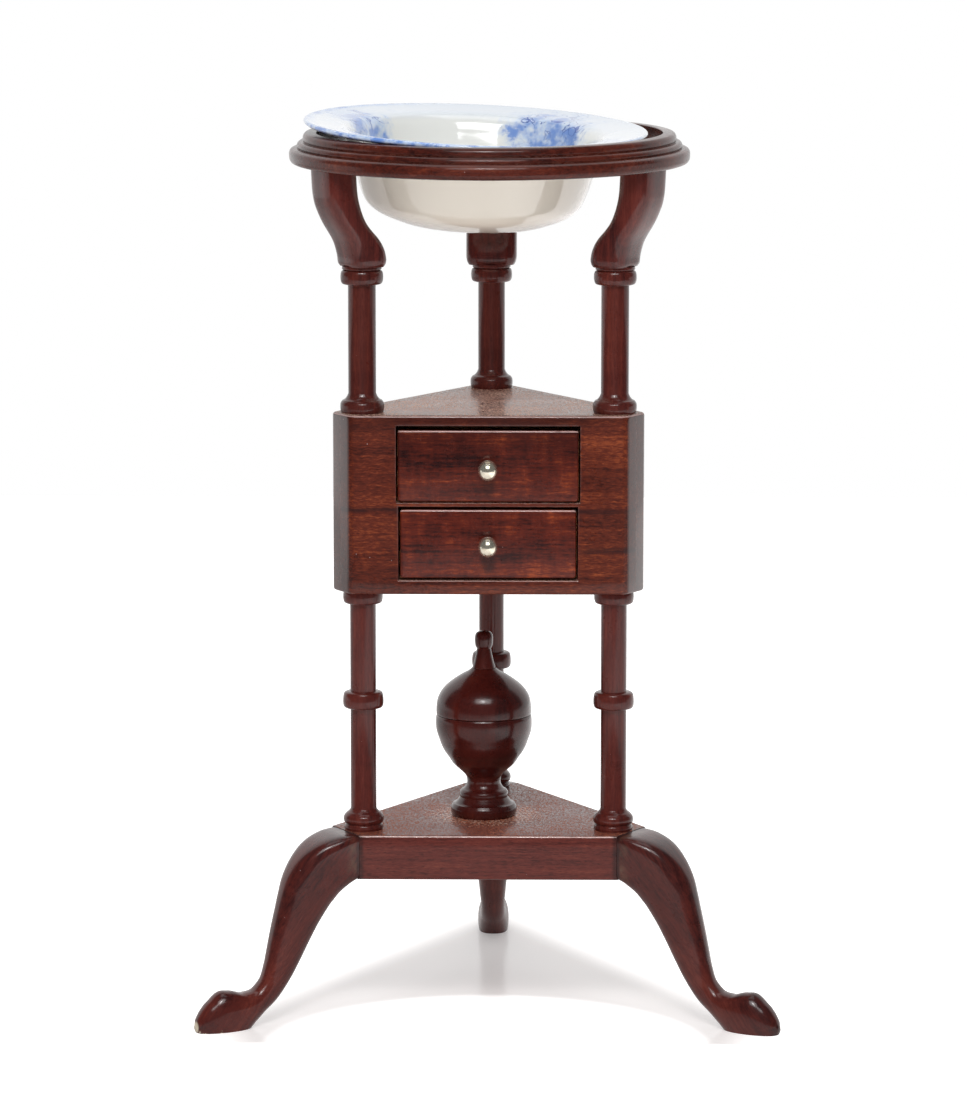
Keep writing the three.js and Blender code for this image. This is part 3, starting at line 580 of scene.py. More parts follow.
def build_figure(g: Graph, given: Inner) -> Inner:
    """Builds the group of the wood's figure: bands, streaks, dashes, curl and pores along the X axis.

    Args:
        g: The group's graph.
        given: The group's inputs.

    Returns:
        What goes to its outputs.
    """
    raw = given["Vector"]
    centred = g.vector("SUBTRACT", g.noise(raw, (85, 26, 26), 2.0).sibling("Color"), (0.5, 0.5, 0.5))
    shift = g.wire("ShaderNodeVectorMath", 0, {0: centred, 3: given["Ripple"]}, operation="SCALE")
    rippled = g.vector("ADD", raw, shift)
    streaks = g.noise(rippled, (11, 330, 330), 4.0, 0.62)
    depth = (g.noise(rippled, (2.2, 34, 34), 3.0, 0.55) - 0.5) * 1.5
    for part, share in (
        (streaks, given["Streaks"]),
        (g.noise(raw, (52, 30, 30), 3.0, 0.6), given["Mottle"]),
        (g.noise(rippled, (70, 900, 900), 2.0, 0.6), 0.35),
        (g.noise(rippled, (170, 820, 820), 2.0, 0.65), given["Dashes"]),
        (g.noise(raw, (250, 38, 38), 3.0, 0.6), given["Curl"]),
    ):
        depth = depth + (part - 0.5) * share
    body = g.blend(depth.remap(-0.55, 0.15), given["Dark"], given["Middle"])
    color = g.blend(depth.remap(0.02, 0.75), body, given["Light"])
    pores = g.noise(rippled, (130, 1250, 1250), 1.5, 0.5).remap(0.40, 0.33) * given["Pores"]
    return {"Color": g.blend(pores * 0.55, color, given["Dark"]), "Relief": streaks * 0.35 - pores}


def build_wear(g: Graph, given: Inner) -> Inner:
    """Builds the group that finds worn edges, broken up by a noise.

    Args:
        g: The group's graph.
        given: The group's inputs.

    Returns:
        What goes to its output.
    """
    smooth = g.wire("ShaderNodeBevel", 0, {"Radius": given["Width"]}, samples=4)
    same = g.vector("DOT_PRODUCT", smooth, g.wire("ShaderNodeNewGeometry", "Normal"), "Value")
    return {"Mask": same.remap(0.97, 0.84) * g.noise(given["Vector"], 260, 3.0, 0.6).remap(0.35, 0.65)}


def build_dust(g: Graph, given: Inner) -> Inner:
    """Builds the group of sparse specks of dust.

    Args:
        g: The group's graph.
        given: The group's inputs.

    Returns:
        What goes to its output.
    """
    cells = g.wire("ShaderNodeTexVoronoi", "Color", {"Vector": given["Vector"], "Scale": 95.0, "Randomness": 1.0})
    luck, size, _ = g.split(cells, "Color")
    spot = g.calc("LESS_THAN", cells.sibling("Distance"), size * 0.055)
    return {"Mask": spot * g.calc("LESS_THAN", luck, given["Amount"])}


def build_smears(g: Graph, given: Inner) -> Inner:
    """Builds the group of hand marks and uneven polish, as a change of roughness.

    Args:
        g: The group's graph.
        given: The group's inputs.

    Returns:
        What goes to its output.
    """
    broad, fine = g.noise(given["Vector"], 16, 4.0, 0.6), g.noise(given["Vector"], 210, 2.0, 0.5)
    return {"Value": (broad * 0.75 + fine * 0.25).remap(0.3, 0.7)}


FIGURE = Effect(
    "wood_figure",
    {
        "Vector": NOWHERE, "Dark": (0.03, 0.01, 0.008, 1.0), "Middle": (0.1, 0.03, 0.02, 1.0),
        "Light": (0.2, 0.06, 0.03, 1.0), "Streaks": 0.9, "Mottle": 0.4, "Dashes": 0.4, "Curl": 0.0,
        "Ripple": 0.002, "Pores": 1.0,
    },
    ("Color", "Relief"),
    build_figure,
)
WEAR = Effect("rubbed_edges", {"Vector": NOWHERE, "Width": 0.001}, ("Mask",), build_wear)
DUST = Effect("dust_specks", {"Vector": NOWHERE, "Amount": 0.3}, ("Mask",), build_dust)
SMEARS = Effect("polish_smears", {"Vector": NOWHERE}, ("Value",), build_smears)


def new_material(name: str) -> tuple[Material, Graph, bpy.types.Node]:
    """An empty material.

    Args:
        name: Its name.

    Returns:
        The material, its graph and its Principled shader, which is linked to the output.
    """
    material = bpy.data.materials.new(name)
    material.use_nodes = True
    material.node_tree.nodes.clear()
    graph = Graph(material.node_tree)
    shader = graph.add("ShaderNodeBsdfPrincipled")
    graph.add("ShaderNodeOutputMaterial", {"Surface": Wire(graph, shader.outputs[0])})
    return material, graph, shader


# Finishes


@dataclass
class Layers:
    """A material's colour, over which layers are laid one by one."""

    g: Graph
    plain: Wire
    color: Wire | Row

    def paint(self, mask: Wire, color: Wire | Row) -> None:
        """Lays a colour over the others as far as a mask says."""
        self.color = self.g.blend(mask, self.color, color)

    def noise(self, size: float | Row, detail: float = 3.0, rough: float = 0.5) -> Wire:
        """A noise at the place itself."""
        return self.g.noise(self.plain, size, detail, rough)

    def bump(self, height: Wire, distance: float, strength: float = 1.0) -> Wire:
        """The normal that a height gives."""
        return self.g.wire("ShaderNodeBump", 0, {"Height": height, "Distance": distance, "Strength": strength})

    def wear(self, width: float, amount: float, bare: Color) -> None:
        """Rubs the edges of a width down to a bare colour."""
        self.paint(WEAR.placed(self.g, {"Vector": self.plain, "Width": width}) * amount, bare)

    def sprinkle(self, amount: float, strength: float, tint: Color) -> Wire:
        """Lays specks of dust over it and gives their mask."""
        specks = DUST.placed(self.g, {"Vector": self.plain, "Amount": amount})
        self.paint(specks * strength, tint)
        return specks

    def smeared(self, low: float, high: float) -> Wire:
        """A roughness that hand marks vary."""
        return SMEARS.placed(self.g, {"Vector": self.plain}).remap(0.0, 1.0, low, high)


@dataclass
class WoodLayers(Layers):
    """Marks of age and use over a wood's figure, and painted light: highlights on upper edges, a knob's shadow and a
    pale sheen on tops. Places and levels come in millimetres.
    """

    dark: Row

    def __post_init__(self) -> None:
        """Finds the place's parts and how far the surface faces up, from the real normal."""
        self.across, _, self.level = self.g.split(self.plain)
        self.normal = self.g.wire("ShaderNodeNewGeometry", "Normal")
        self.facing = self.g.split(self.normal)[2]

    def away(self, middle: Vector, stretch: Row = ()) -> Wire:
        """The distance from a place, along stretched axes if they are given."""
        off = self.g.vector("SUBTRACT", self.plain, tuple(middle * MM))
        return self.g.vector("LENGTH", self.g.vector("MULTIPLY", off, stretch) if stretch else off, key="Value")

    def vein(self, level: float, thick: float, begin: float, end: float) -> None:
        """Draws a dark vein that wanders along a board.

        Args:
            level: Its level.
            thick: Its half thickness.
            begin: Where along X it begins.
            end: Where along X it ends.
        """
        level, thick, begin, end = (value * MM for value in (level, thick, begin, end))
        line = abs(self.level + (self.noise(14) - 0.5) * 0.012 - level).remap(thick, 0.15 * thick)
        fade = 8 * MM
        span = self.across.remap(begin - fade, begin + fade) * self.across.remap(end + fade, end - fade)
        broken = self.noise((40, 40, 500), 2.0).remap(0.3, 0.6, 0.4, 1.0)
        self.paint(line * span * broken * 0.85, srgb(44, 18, 18))

    def darken_upward(self, low: float, high: float, share: float) -> None:
        """Darkens a board unevenly from one level up to another."""
        wander = (self.noise(22) - 0.5) * 0.06
        self.paint((self.level + wander).remap(low * MM, high * MM) * share, self.dark)

    def paint_knob_shadow(self, middle: Vector) -> None:
        """Paints the shadow that a knob casts: a tall dark patch below it."""
        self.paint(self.away(middle, (1.0, 0.0, 0.55)).remap(0.0085, 0.003) * 0.6, self.dark)

    def cut_corners(self) -> Wire:
        """The mask of the case's cut corners, whose grain stands on end."""
        facing: object = 0.0
        for way in PLAN.ways:
            facing = self.g.calc("MAXIMUM", facing, self.g.vector("DOT_PRODUCT", self.normal, way, "Value"))
        return facing.remap(0.9, 0.985)

    def scatter(self, middle: Vector) -> None:
        """Scatters pale and reddish grains round a place.

        Args:
            middle: The place.
        """
        away = self.away(middle)
        grains = self.noise((520, 340, 520), 2.0, 0.6)
        share = (grains + away.remap(0.07, 0.03, 0.0, 0.2)).remap(0.67, 0.71)
        tint = self.g.split(grains.sibling("Color"), "Color")[1].remap(0.45, 0.55)
        grain_color = self.g.blend(tint, srgb(196, 112, 76), srgb(226, 196, 178))
        self.paint(share * away.remap(0.075, 0.06) * 0.8, grain_color)

    def paint_arris_highlight(self, amount: float, bare: Color, unhighlighted: Pair | None) -> None:
        """Paints a pale highlight on the rounded upper edges of a board, where light catches them.

        Args:
            amount: How strong the painted highlight is, 0 to 1.
            bare: The painted highlight's colour.
            unhighlighted: Two levels between which the edges get no painted highlight.
        """
        edge = self.facing.remap(0.28, 0.5) * self.facing.remap(0.92, 0.76)
        if unhighlighted:
            off = abs(self.level - (unhighlighted[0] + unhighlighted[1]) / 2 * MM)
            edge = edge * self.g.calc("GREATER_THAN", off, (unhighlighted[1] - unhighlighted[0]) / 2 * MM)
        self.paint(edge * self.noise(60, 4.0, 0.7).remap(0.3, 0.5, 0.45, 1.0) * amount, bare)

    def stain(self, joint: float) -> None:
        """Darkens the wood unevenly at a glued joint.

        Args:
            joint: Distance of the joint from the tripod's axis.
        """
        centred = self.g.vector("SUBTRACT", self.plain, tuple(PLAN.axis * MM))
        seam: object = 0.0
        glue: object = 0.0
        for way in PLAN.ways:
            off = self.g.vector("DOT_PRODUCT", centred, way, "Value") - joint * MM
            seam = self.g.calc("MAXIMUM", seam, abs(off).remap(0.0045, 0.001))
            glue = self.g.calc("MAXIMUM", glue, off.remap(0.001, 0.004) * off.remap(0.013, 0.006))
        uneven = self.noise(90, 3.0, 0.6).remap(0.3, 0.7)
        self.paint(glue * uneven * 0.6, srgb(104, 80, 64))
        self.paint(seam * uneven.remap(0.0, 1.0, 0.5, 0.8), srgb(36, 18, 18))

    def wear_toe(self, amount: float) -> None:
        """Wears the tip of a toe and spots of the sole's edge down to bare wood.

        Args:
            amount: How far it is worn, 0 to 1.
        """
        out = self.away(PLAN.axis, (1.0, 1.0, 0.0))
        reach = PLAN.leg_reach * MM
        tip = out.remap(reach - 0.0014, reach - 0.0005) * self.level.remap(0.02, 0.014)
        spots = self.noise(150, 2.0, 0.6).remap(0.52, 0.6)
        sole = self.level.remap(0.0035, 0.0015) * spots * out.remap(reach - 0.035, reach - 0.02)
        self.paint(self.g.calc("MAXIMUM", tip, sole) * amount, srgb(226, 214, 190))

    def dust_and_sheen(self) -> Wire:
        """The mask of a patchy film of dust and open pores on what faces up; its pale colour also paints the sheen that
        tops show.
        """
        dusty_sheen = self.noise((520, 300, 520), 3.0, 0.7).remap(0.41, 0.6)
        return self.facing.remap(0.86, 0.98) * (dusty_sheen * self.noise(18, 3.0, 0.6).remap(0.3, 0.7, 0.55, 1.0))


@dataclass(frozen=True)
class Wood:
    """A finish of wood. Its grain runs along a direction that each piece gives."""

    name: str
    dark: Color
    middle: Color
    light: Color
    streaks: float = 0.9
    mottle: float = 0.4
    dashes: float = 0.5
    curl: float = 0.0
    ripple: float = 0.0016
    pores: float = 1.0
    gloss: float = 0.2
    matt: float = 0.34
    coat: float = 0.55
    coat_gloss: float = 0.08
    sheen_level: float = 0.22
    relief: float = 0.00012
    # Colour of worn edges, which on boards is also the painted highlight of their upper edges.
    rubbed_and_highlight: Color = srgb(150, 92, 78)
    rubbing: float = 0.35
    rubbed_width: float = 0.0022
    # How strong the painted highlight on rounded edges that face up is.
    arris_highlight: float = 0.0
    flank: float = 0.0
    dust: float = 0.25
    # The film on upward faces and its colour: real dust and open pores, and also a painted sheen that lightens tops.
    dust_and_sheen: float = 0.0
    dusty_sheen: Color = srgb(178, 122, 102)

    def along(
        self, grain: Sequence[float], centre: Vector | None = None, key: str = "",
        foot_wear: float = 0.0, joint: float = 0.0, veins: Sequence[Row] = (), darken_upward: Row = (), tone_and_shade: float = 1.0,
        crumbs: Vector | None = None, unhighlighted: Pair | None = None, knob_shadow: Vector | None = None,
    ) -> Material:
        """The material with its grain laid along a direction. Places and levels are in millimetres.

        Args:
            grain: The grain's direction in the object's frame.
            centre: The place that the figure is centred on, so that copies differ.
            key: A word that tells this laying from others.
            foot_wear: How far the toe and the sole's edge of a foot are worn pale, 0 to 1.
            joint: Distance from the tripod's axis of a glued joint whose stain shows.
            veins: Dark veins in a board: the level, the half thickness, and where along X it begins and ends.
            darken_upward: The levels between which a board darkens upward, and by what share.
            tone_and_shade: How light this piece is painted against the finish: partly its own tone, partly painted
                light and shade.
            crumbs: A place that grains of dust have gathered round.
            unhighlighted: Two levels between which the edges get no painted highlight.
            knob_shadow: The middle of the painted shadow below a knob.

        Returns:
            The material.
        """
        name = f"{self.name}_{key}" if key else self.name
        known = bpy.data.materials.get(name)
        if known:
            return known
        material, g, shader = new_material(name)
        spin = Vector(grain).normalized().rotation_difference(Vector((1, 0, 0)))
        shift = -(spin @ ((centre or Vector()) * MM))
        plain = g.wire("ShaderNodeTexCoord", "Object")
        laid = g.wire("ShaderNodeMapping", 0, {
            "Vector": plain, "Location": tuple(shift), "Rotation": tuple(spin.to_euler("XYZ")),
        })
        # The colours are scaled for the piece's own tone and for painted light and shade.
        dark, middle, light = (
            (*(channel * tone_and_shade for channel in color), 1.0) for color in (self.dark, self.middle, self.light)
        )
        figure = FIGURE.placed(g, {
            "Vector": laid, "Dark": dark, "Middle": middle, "Light": light, "Streaks": self.streaks,
            "Mottle": self.mottle, "Dashes": self.dashes, "Curl": self.curl, "Ripple": self.ripple,
            "Pores": self.pores,
        })
        layers = WoodLayers(g, plain, figure, dark)
        for vein in veins:
            layers.vein(*vein)
        if darken_upward:
            layers.darken_upward(*darken_upward)
        # Painted shadow below a knob.
        if knob_shadow is not None:
            layers.paint_knob_shadow(knob_shadow)
        cut: object = 0.0
        if self.flank:
            cut = layers.cut_corners()
            layers.paint(cut * self.flank, dark)
        if crumbs is not None:
            layers.scatter(crumbs)
        layers.wear(self.rubbed_width, self.rubbing, self.rubbed_and_highlight)
        # Painted highlight where rounded edges face up.
        if self.arris_highlight:
            layers.paint_arris_highlight(self.arris_highlight, self.rubbed_and_highlight, unhighlighted)
        if joint:
            layers.stain(joint)
        if foot_wear:
            layers.wear_toe(foot_wear)
        specks = layers.sprinkle(self.dust, 0.45, srgb(196, 170, 168))
        rough = g.calc("ADD", layers.smeared(self.gloss, self.matt), specks * 0.4, clamp=True)
        height = figure.sibling("Relief") + layers.noise(120, 2.0, 0.5) * 1.1
        coat: object = self.coat
        # A film of dust with a painted pale sheen on what faces up.
        if self.dust_and_sheen:
            dusty_sheen = layers.dust_and_sheen()
            layers.paint(dusty_sheen * self.dust_and_sheen, self.dusty_sheen)
            rough = g.calc("ADD", rough, dusty_sheen * 0.5, clamp=True)
            height = height + dusty_sheen * 1.2
            varnish = dusty_sheen.remap(0.0, 0.8, self.coat, 0.2 * self.coat)
            coat = g.calc("ADD", varnish, g.calc("MULTIPLY", cut, 0.6), clamp=True)
        g.feed(shader, {
            "Base Color": layers.color, "Roughness": rough, "Normal": layers.bump(height, self.relief),
            "Coat Weight": coat, "Coat Roughness": self.coat_gloss, "Specular IOR Level": self.sheen_level,
        })
        return material


TURNED = Wood(
    "turned_mahogany", srgb(42, 14, 15), srgb(84, 33, 28), srgb(116, 53, 43), streaks=1.05, mottle=0.5,
    gloss=0.26, matt=0.38, coat=0.55, coat_gloss=0.1, sheen_level=0.14, pores=0.3, relief=0.00005,
    rubbed_and_highlight=srgb(150, 98, 92), rubbing=0.25, dust=0.45,
)
BOARD = Wood(
    "board_mahogany", srgb(54, 20, 18), srgb(98, 42, 36), srgb(136, 68, 52), streaks=1.2, mottle=0.25, dashes=0.9,
    gloss=0.28, matt=0.4, coat=0.35, coat_gloss=0.1, sheen_level=0.18, relief=0.00009,
    rubbed_and_highlight=srgb(236, 206, 200), rubbing=0.12, arris_highlight=0.8, dust_and_sheen=0.55, dusty_sheen=srgb(212, 134, 104),
)
RING_WOOD = Wood(
    "ring_mahogany", srgb(42, 14, 12), srgb(82, 33, 24), srgb(120, 58, 38), streaks=1.2, mottle=0.4, dashes=0.8,
    gloss=0.22, matt=0.34, coat=0.36, coat_gloss=0.12, sheen_level=0.12, relief=0.00007,
    rubbed_and_highlight=srgb(172, 124, 108), rubbing=0.35,
)
URN_WOOD = Wood(
    "urn_mahogany", srgb(32, 9, 10), srgb(68, 22, 18), srgb(98, 38, 28), streaks=0.5, mottle=0.6, dashes=0.3,
    gloss=0.24, matt=0.32, coat=0.6, coat_gloss=0.16, sheen_level=0.12, rubbing=0.15, pores=0.2, relief=0.000025,
)
CASE_WOOD = Wood(
    "case_mahogany", srgb(48, 15, 11), srgb(90, 34, 20), srgb(146, 69, 36), streaks=1.15, mottle=0.3, dashes=1.5,
    ripple=0.003, gloss=0.26, matt=0.38, coat=0.4, coat_gloss=0.12, sheen_level=0.18, pores=0.2, relief=0.00006,
    rubbed_and_highlight=srgb(222, 184, 178), rubbing=0.16, arris_highlight=0.5, dust_and_sheen=0.92, dusty_sheen=srgb(226, 184, 164), flank=0.6,
)
DRAWER_WOOD = Wood(
    "drawer_mahogany", srgb(38, 11, 11), srgb(88, 29, 18), srgb(160, 70, 30), streaks=1.25, mottle=1.05, dashes=0.9,
    curl=0.35, ripple=0.002, gloss=0.24, matt=0.34, coat=0.3, coat_gloss=0.16, sheen_level=0.18, pores=0.0,
    relief=0.00003, rubbed_and_highlight=srgb(222, 184, 178), rubbing=0.12, arris_highlight=0.75,
)
INNER_WOOD = Wood(
    "inner_wood", srgb(90, 60, 38), srgb(150, 106, 68), srgb(184, 138, 94), streaks=0.9, mottle=0.2,
    gloss=0.55, matt=0.75, coat=0.0, sheen_level=0.4, rubbed_and_highlight=srgb(186, 150, 110), rubbing=0.2, dust=0.1,
)


@dataclass(frozen=True)
class Plating:
    """Nickel plating with a warm cast and fine scratches."""

    name: str = "nickel_plating"
    tint: Color = srgb(240, 234, 216)
    dull: Color = srgb(206, 192, 160)
    brass: Color = srgb(206, 176, 110)

    def material(self) -> Material:
        """The plating's material."""
        known = bpy.data.materials.get(self.name)
        if known:
            return known
        material, g, shader = new_material(self.name)
        layers = Layers(g, g.wire("ShaderNodeTexCoord", "Object"), self.tint)
        tarnish = layers.noise(300, 4.0, 0.6).remap(0.45, 0.7)
        scratches = layers.noise((3000, 240, 3000), 2.0, 0.5).remap(0.35, 0.7)
        layers.paint(tarnish * 0.5, self.dull)
        layers.wear(0.0006, 0.4, self.brass)
        g.feed(shader, {
            "Base Color": layers.color, "Roughness": tarnish.remap(0.0, 1.0, 0.15, 0.24), "Metallic": 0.9,
            "Normal": layers.bump(scratches, 0.00001, 0.5),
        })
        return material


@dataclass(frozen=True)
class Glaze:
    """White porcelain glaze with smudged blue sprays, drawn on the basin's own map.

    The map's first axis goes once round the basin, and its second along the outline from the
    middle of the underside over the rim to the middle of the well.
    """

    name: str = "blue_and_white_glaze"
    white: Color = srgb(241, 242, 238)
    cream: Color = srgb(252, 246, 232)
    mist: Color = srgb(214, 227, 244)
    wash: Color = srgb(176, 202, 240)
    blue: Color = srgb(92, 136, 214)
    deep: Color = srgb(48, 84, 168)
    sprays: tuple[Pair, ...] = ((54.0, 27.0), (153.0, 18.0), (250.0, 24.0), (335.0, 18.0))
    bluest_side: float = 0.66

    def material(self, lip: float, shoulder: float, foot: float) -> Material:
        """The glaze's material.

        Args:
            lip: Where the rim's outer lip lies on the map's second axis.
            shoulder: Where the flat rim turns down into the well.
            foot: Where the well's wall meets its floor.

        Returns:
            The material.
        """
        material, g, shader = new_material(self.name)
        flat_map = g.wire("ShaderNodeTexCoord", "UV")
        around, along, _ = g.split(flat_map)
        layers = Layers(g, flat_map.sibling("Object"), self.white)
        layers.paint(along.remap(lip - 0.02, lip - 0.08), self.cream)
        flat = along.remap(lip - 0.01, lip) * along.remap(shoulder + 0.02, shoulder - 0.02)
        layers.paint(flat * 0.75, self.mist)
        blotch = layers.noise(62, 5.0, 0.65)
        self._paint_sprays(layers, around, along, blotch, (shoulder, foot))
        self._paint_rim(layers, around, along, blotch, (lip, shoulder))
        layers.sprinkle(0.12, 0.3, srgb(170, 160, 150))
        g.feed(shader, {
            "Base Color": layers.color, "Roughness": layers.smeared(0.05, 0.13), "Coat Weight": 1.0,
            "Coat Roughness": 0.03, "Normal": layers.bump(layers.noise(45, 2.0, 0.5), 0.00025, 0.6),
        })
        return material

    def _paint_sprays(self, layers: Layers, around: Wire, along: Wire, blotch: Wire, wall: Pair) -> None:
        """Paints the sprays on the well's wall: a pale wash, darker dabs and twigs.

        Args:
            layers: The glaze so far.
            around: The map's first axis.
            along: The map's second axis.
            blotch: A noise that frays what is painted.
            wall: Where the wall begins and ends on the second axis.
        """
        g, (top, foot) = layers.g, wall
        drop = foot - top
        wash: object = 0.0
        heart: object = 0.0
        for angle, spread in self.sprays:
            off = abs(around - angle / 360)
            away = g.calc("MINIMUM", off, g.calc("SUBTRACT", 1.0, off))
            wide = g.calc("DIVIDE", away, spread / 360)
            tall = g.calc("DIVIDE", along - (top + 0.12 * drop), drop / 1.6)
            far = g.calc("SQRT", wide * wide + tall * tall) + (blotch - 0.5) * 1.6
            wash = g.calc("MAXIMUM", wash, far.remap(1.2, 0.5))
            heart = g.calc("MAXIMUM", heart, far.remap(0.95, 0.6))
        bent = {"Vector": layers.plain, "Scale": 46.0, "Detail": 3.0, "Distortion": 1.4}
        twigs = abs(g.wire("ShaderNodeTexNoise", 0, bent) - 0.5).remap(0.022, 0.004)
        twigs = twigs * along.remap(top + 0.3 * drop, top + 0.05 * drop, 0.25, 1.0)
        layers.paint(wash * layers.noise(230, 4.0, 0.6).remap(0.3, 0.6, 0.5, 1.0) * 0.75, self.wash)
        layers.paint(heart * layers.noise(58, 3.0, 0.5).remap(0.42, 0.6) * 0.8, self.blue)
        layers.paint(heart * twigs * 0.9, self.deep)

    def _paint_rim(self, layers: Layers, around: Wire, along: Wire, blotch: Wire, rim: Pair) -> None:
        """Paints the smudged blue edge of the rim and the thin blotches on its flat.

        Args:
            layers: The glaze so far.
            around: The map's first axis.
            along: The map's second axis.
            blotch: A noise that frays what is painted.
            rim: Where the rim's lip and its inner shoulder lie on the second axis.
        """
        g, (lip, shoulder) = layers.g, rim
        near = g.calc("COSINE", (around - self.bluest_side) * math.tau).remap(-0.9, 0.2, 0.1, 1.0)
        band = abs(along - (lip - 0.006)).remap(0.036, 0.01) * blotch.remap(0.38, 0.6, 0.4, 1.0)
        thin = along.remap(lip, lip + 0.01) * along.remap(shoulder, shoulder - 0.03)
        blue = g.calc("MAXIMUM", band, thin * blotch.remap(0.42, 0.64) * 0.4) * near
        layers.paint(blue.remap(0.05, 0.5, 0.0, 0.75), self.wash)
        layers.paint(blue.remap(0.45, 1.0, 0.0, 0.9), self.blue)


# Sub-assemblies


@dataclass
class Tripod:
    """The platform and its three cabriole legs."""

    thickness: float = 39.5
    inradius: float = 95.01
    corner_radius: float = 145.02
    edge_radius: float = 2.2
    sides: int = 48
    steps: int = 100
    leg_shares: tuple[Row, ...] = (
        (-0.07, 0.880, 0.985, 0.99, 12), (0.00, 0.880, 0.985, 0.99, 10), (0.065, 0.867, 1.09, 0.97, 6),
        (0.138, 0.834, 1.22, 0.89, 4.2), (0.198, 0.785, 1.28, 0.80, 3.2), (0.252, 0.717, 1.25, 0.73, 2.8),
        (0.292, 0.646, 1.15, 0.67, 2.6), (0.332, 0.566, 1.03, 0.62, 2.5), (0.372, 0.478, 0.92, 0.57, 2.5),
        (0.413, 0.382, 0.81, 0.52, 2.4), (0.456, 0.287, 0.68, 0.465, 2.4), (0.507, 0.205, 0.57, 0.43, 2.4),
        (0.575, 0.146, 0.555, 0.44, 2.4), (0.66, 0.105, 0.75, 0.50, 2.4), (0.735, 0.081, 1.11, 0.545, 2.3),
        (0.79, 0.065, 1.25, 0.56, 2.3), (0.845, 0.050, 1.15, 0.545, 2.3), (0.90, 0.039, 0.95, 0.485, 2.3),
        (0.945, 0.031, 0.70, 0.40, 2.3), (0.98, 0.026, 0.42, 0.27, 2.3), (1.00, 0.024, 0.12, 0.10, 2.2),
    )
    leg_grain: Pair = (0.62, -0.78)
    # How light each leg is painted: partly its own tone, partly painted light and shade.
    leg_tones_and_shade: dict[str, float] = field(default_factory=lambda: {"left": 1.05, "right": 0.95, "back": 1.02})
    toe_wear: dict[str, float] = field(default_factory=lambda: {"left": 0.9, "right": 0.0, "back": 0.0})

    @property
    def flat(self) -> float:
        """Width of the flat at each corner that a leg meets."""
        return 2 * (2 * self.inradius - self.corner_radius) * math.tan(math.pi / 6)

    def build(self) -> None:
        """Builds and dresses the platform and the legs."""
        self.build_platform()
        for name, angle in PLAN.corners:
            self.build_leg(name, angle)

    def build_platform(self) -> None:
        """The triangular board, whose long edges are rounded."""
        plan = corner_plan(self.inradius, self.corner_radius)
        bm = upright_prism(plan, PLAN.platform_top - self.thickness, PLAN.platform_top)
        rims = [
            edge for edge in bm.edges
            if length_along(edge) < MERGE and edge.calc_length() > 2 * self.flat
        ]
        round_edges(bm, rims, self.edge_radius, 4)
        urn_foot = PLAN.axis + at(PLAN.urn_shift, PLAN.platform_top)
        wood = BOARD.along(ALONG_X, key="platform", joint=self.corner_radius, crumbs=urn_foot)
        set_piece("platform_board", bm, wood, "platform")

    def build_leg(self, name: str, angle: float) -> None:
        """One cabriole leg: sections square to a curve from the platform to the toe.

        Args:
            name: Which leg it is.
            angle: Its direction in degrees.
        """
        span = PLAN.leg_reach - self.corner_radius
        path = [at(self.corner_radius + out * span, up * PLAN.platform_top) for out, up, *_ in self.leg_shares]
        sizes = [Vector((deep * self.thickness, wide * self.flat, soft)) for _, _, deep, wide, soft in self.leg_shares]
        side = Vector(ALONG_Y)
        rings = []
        for step in range(self.steps + 1):
            share = step / self.steps
            ahead = on_curve(path, share + 0.002) - on_curve(path, share - 0.002)
            normal = ahead.normalized().cross(side)
            size = on_curve(sizes, share)
            middle = on_curve(path, share)
            rings.append([
                middle + normal * deep + side * wide
                for deep, wide in soft_section(size.x, size.y, size.z, self.sides)
            ])
        bm = loft(rings)
        shear_off(bm, NOWHERE, UP)
        shear_off(bm, at(self.corner_radius + PLAN.joint_gap, 0), ALONG_X)
        placed(bm, PLAN.turned(angle))
        wood = TURNED.along(
            turned_about_z(angle) @ at(*self.leg_grain), PLAN.spot(200, angle, 60), f"leg_{name}",
            foot_wear=self.toe_wear[name], joint=self.corner_radius, tone_and_shade=self.leg_tones_and_shade[name],
        )
        set_piece(f"cabriole_leg_{name}", bm, wood, f"leg_{name}", crease=40)


def corner_plan(inradius: float, corner_radius: float) -> list[Vector]:
    """The outline of a triangle whose corners are cut off.

    Args:
        inradius: Distance of its long sides from the tripod's axis.
        corner_radius: Distance of its cut corners from the axis.

    Returns:
        Its six points in order.
    """
    half = (2 * inradius - corner_radius) * math.tan(math.pi / 6)
    spread = math.degrees(math.atan2(half, corner_radius))
    angles = sorted(angle for _, angle in PLAN.corners)
    return [PLAN.spot(math.hypot(corner_radius, half), angle + way) for angle in angles for way in (-spread, spread)]


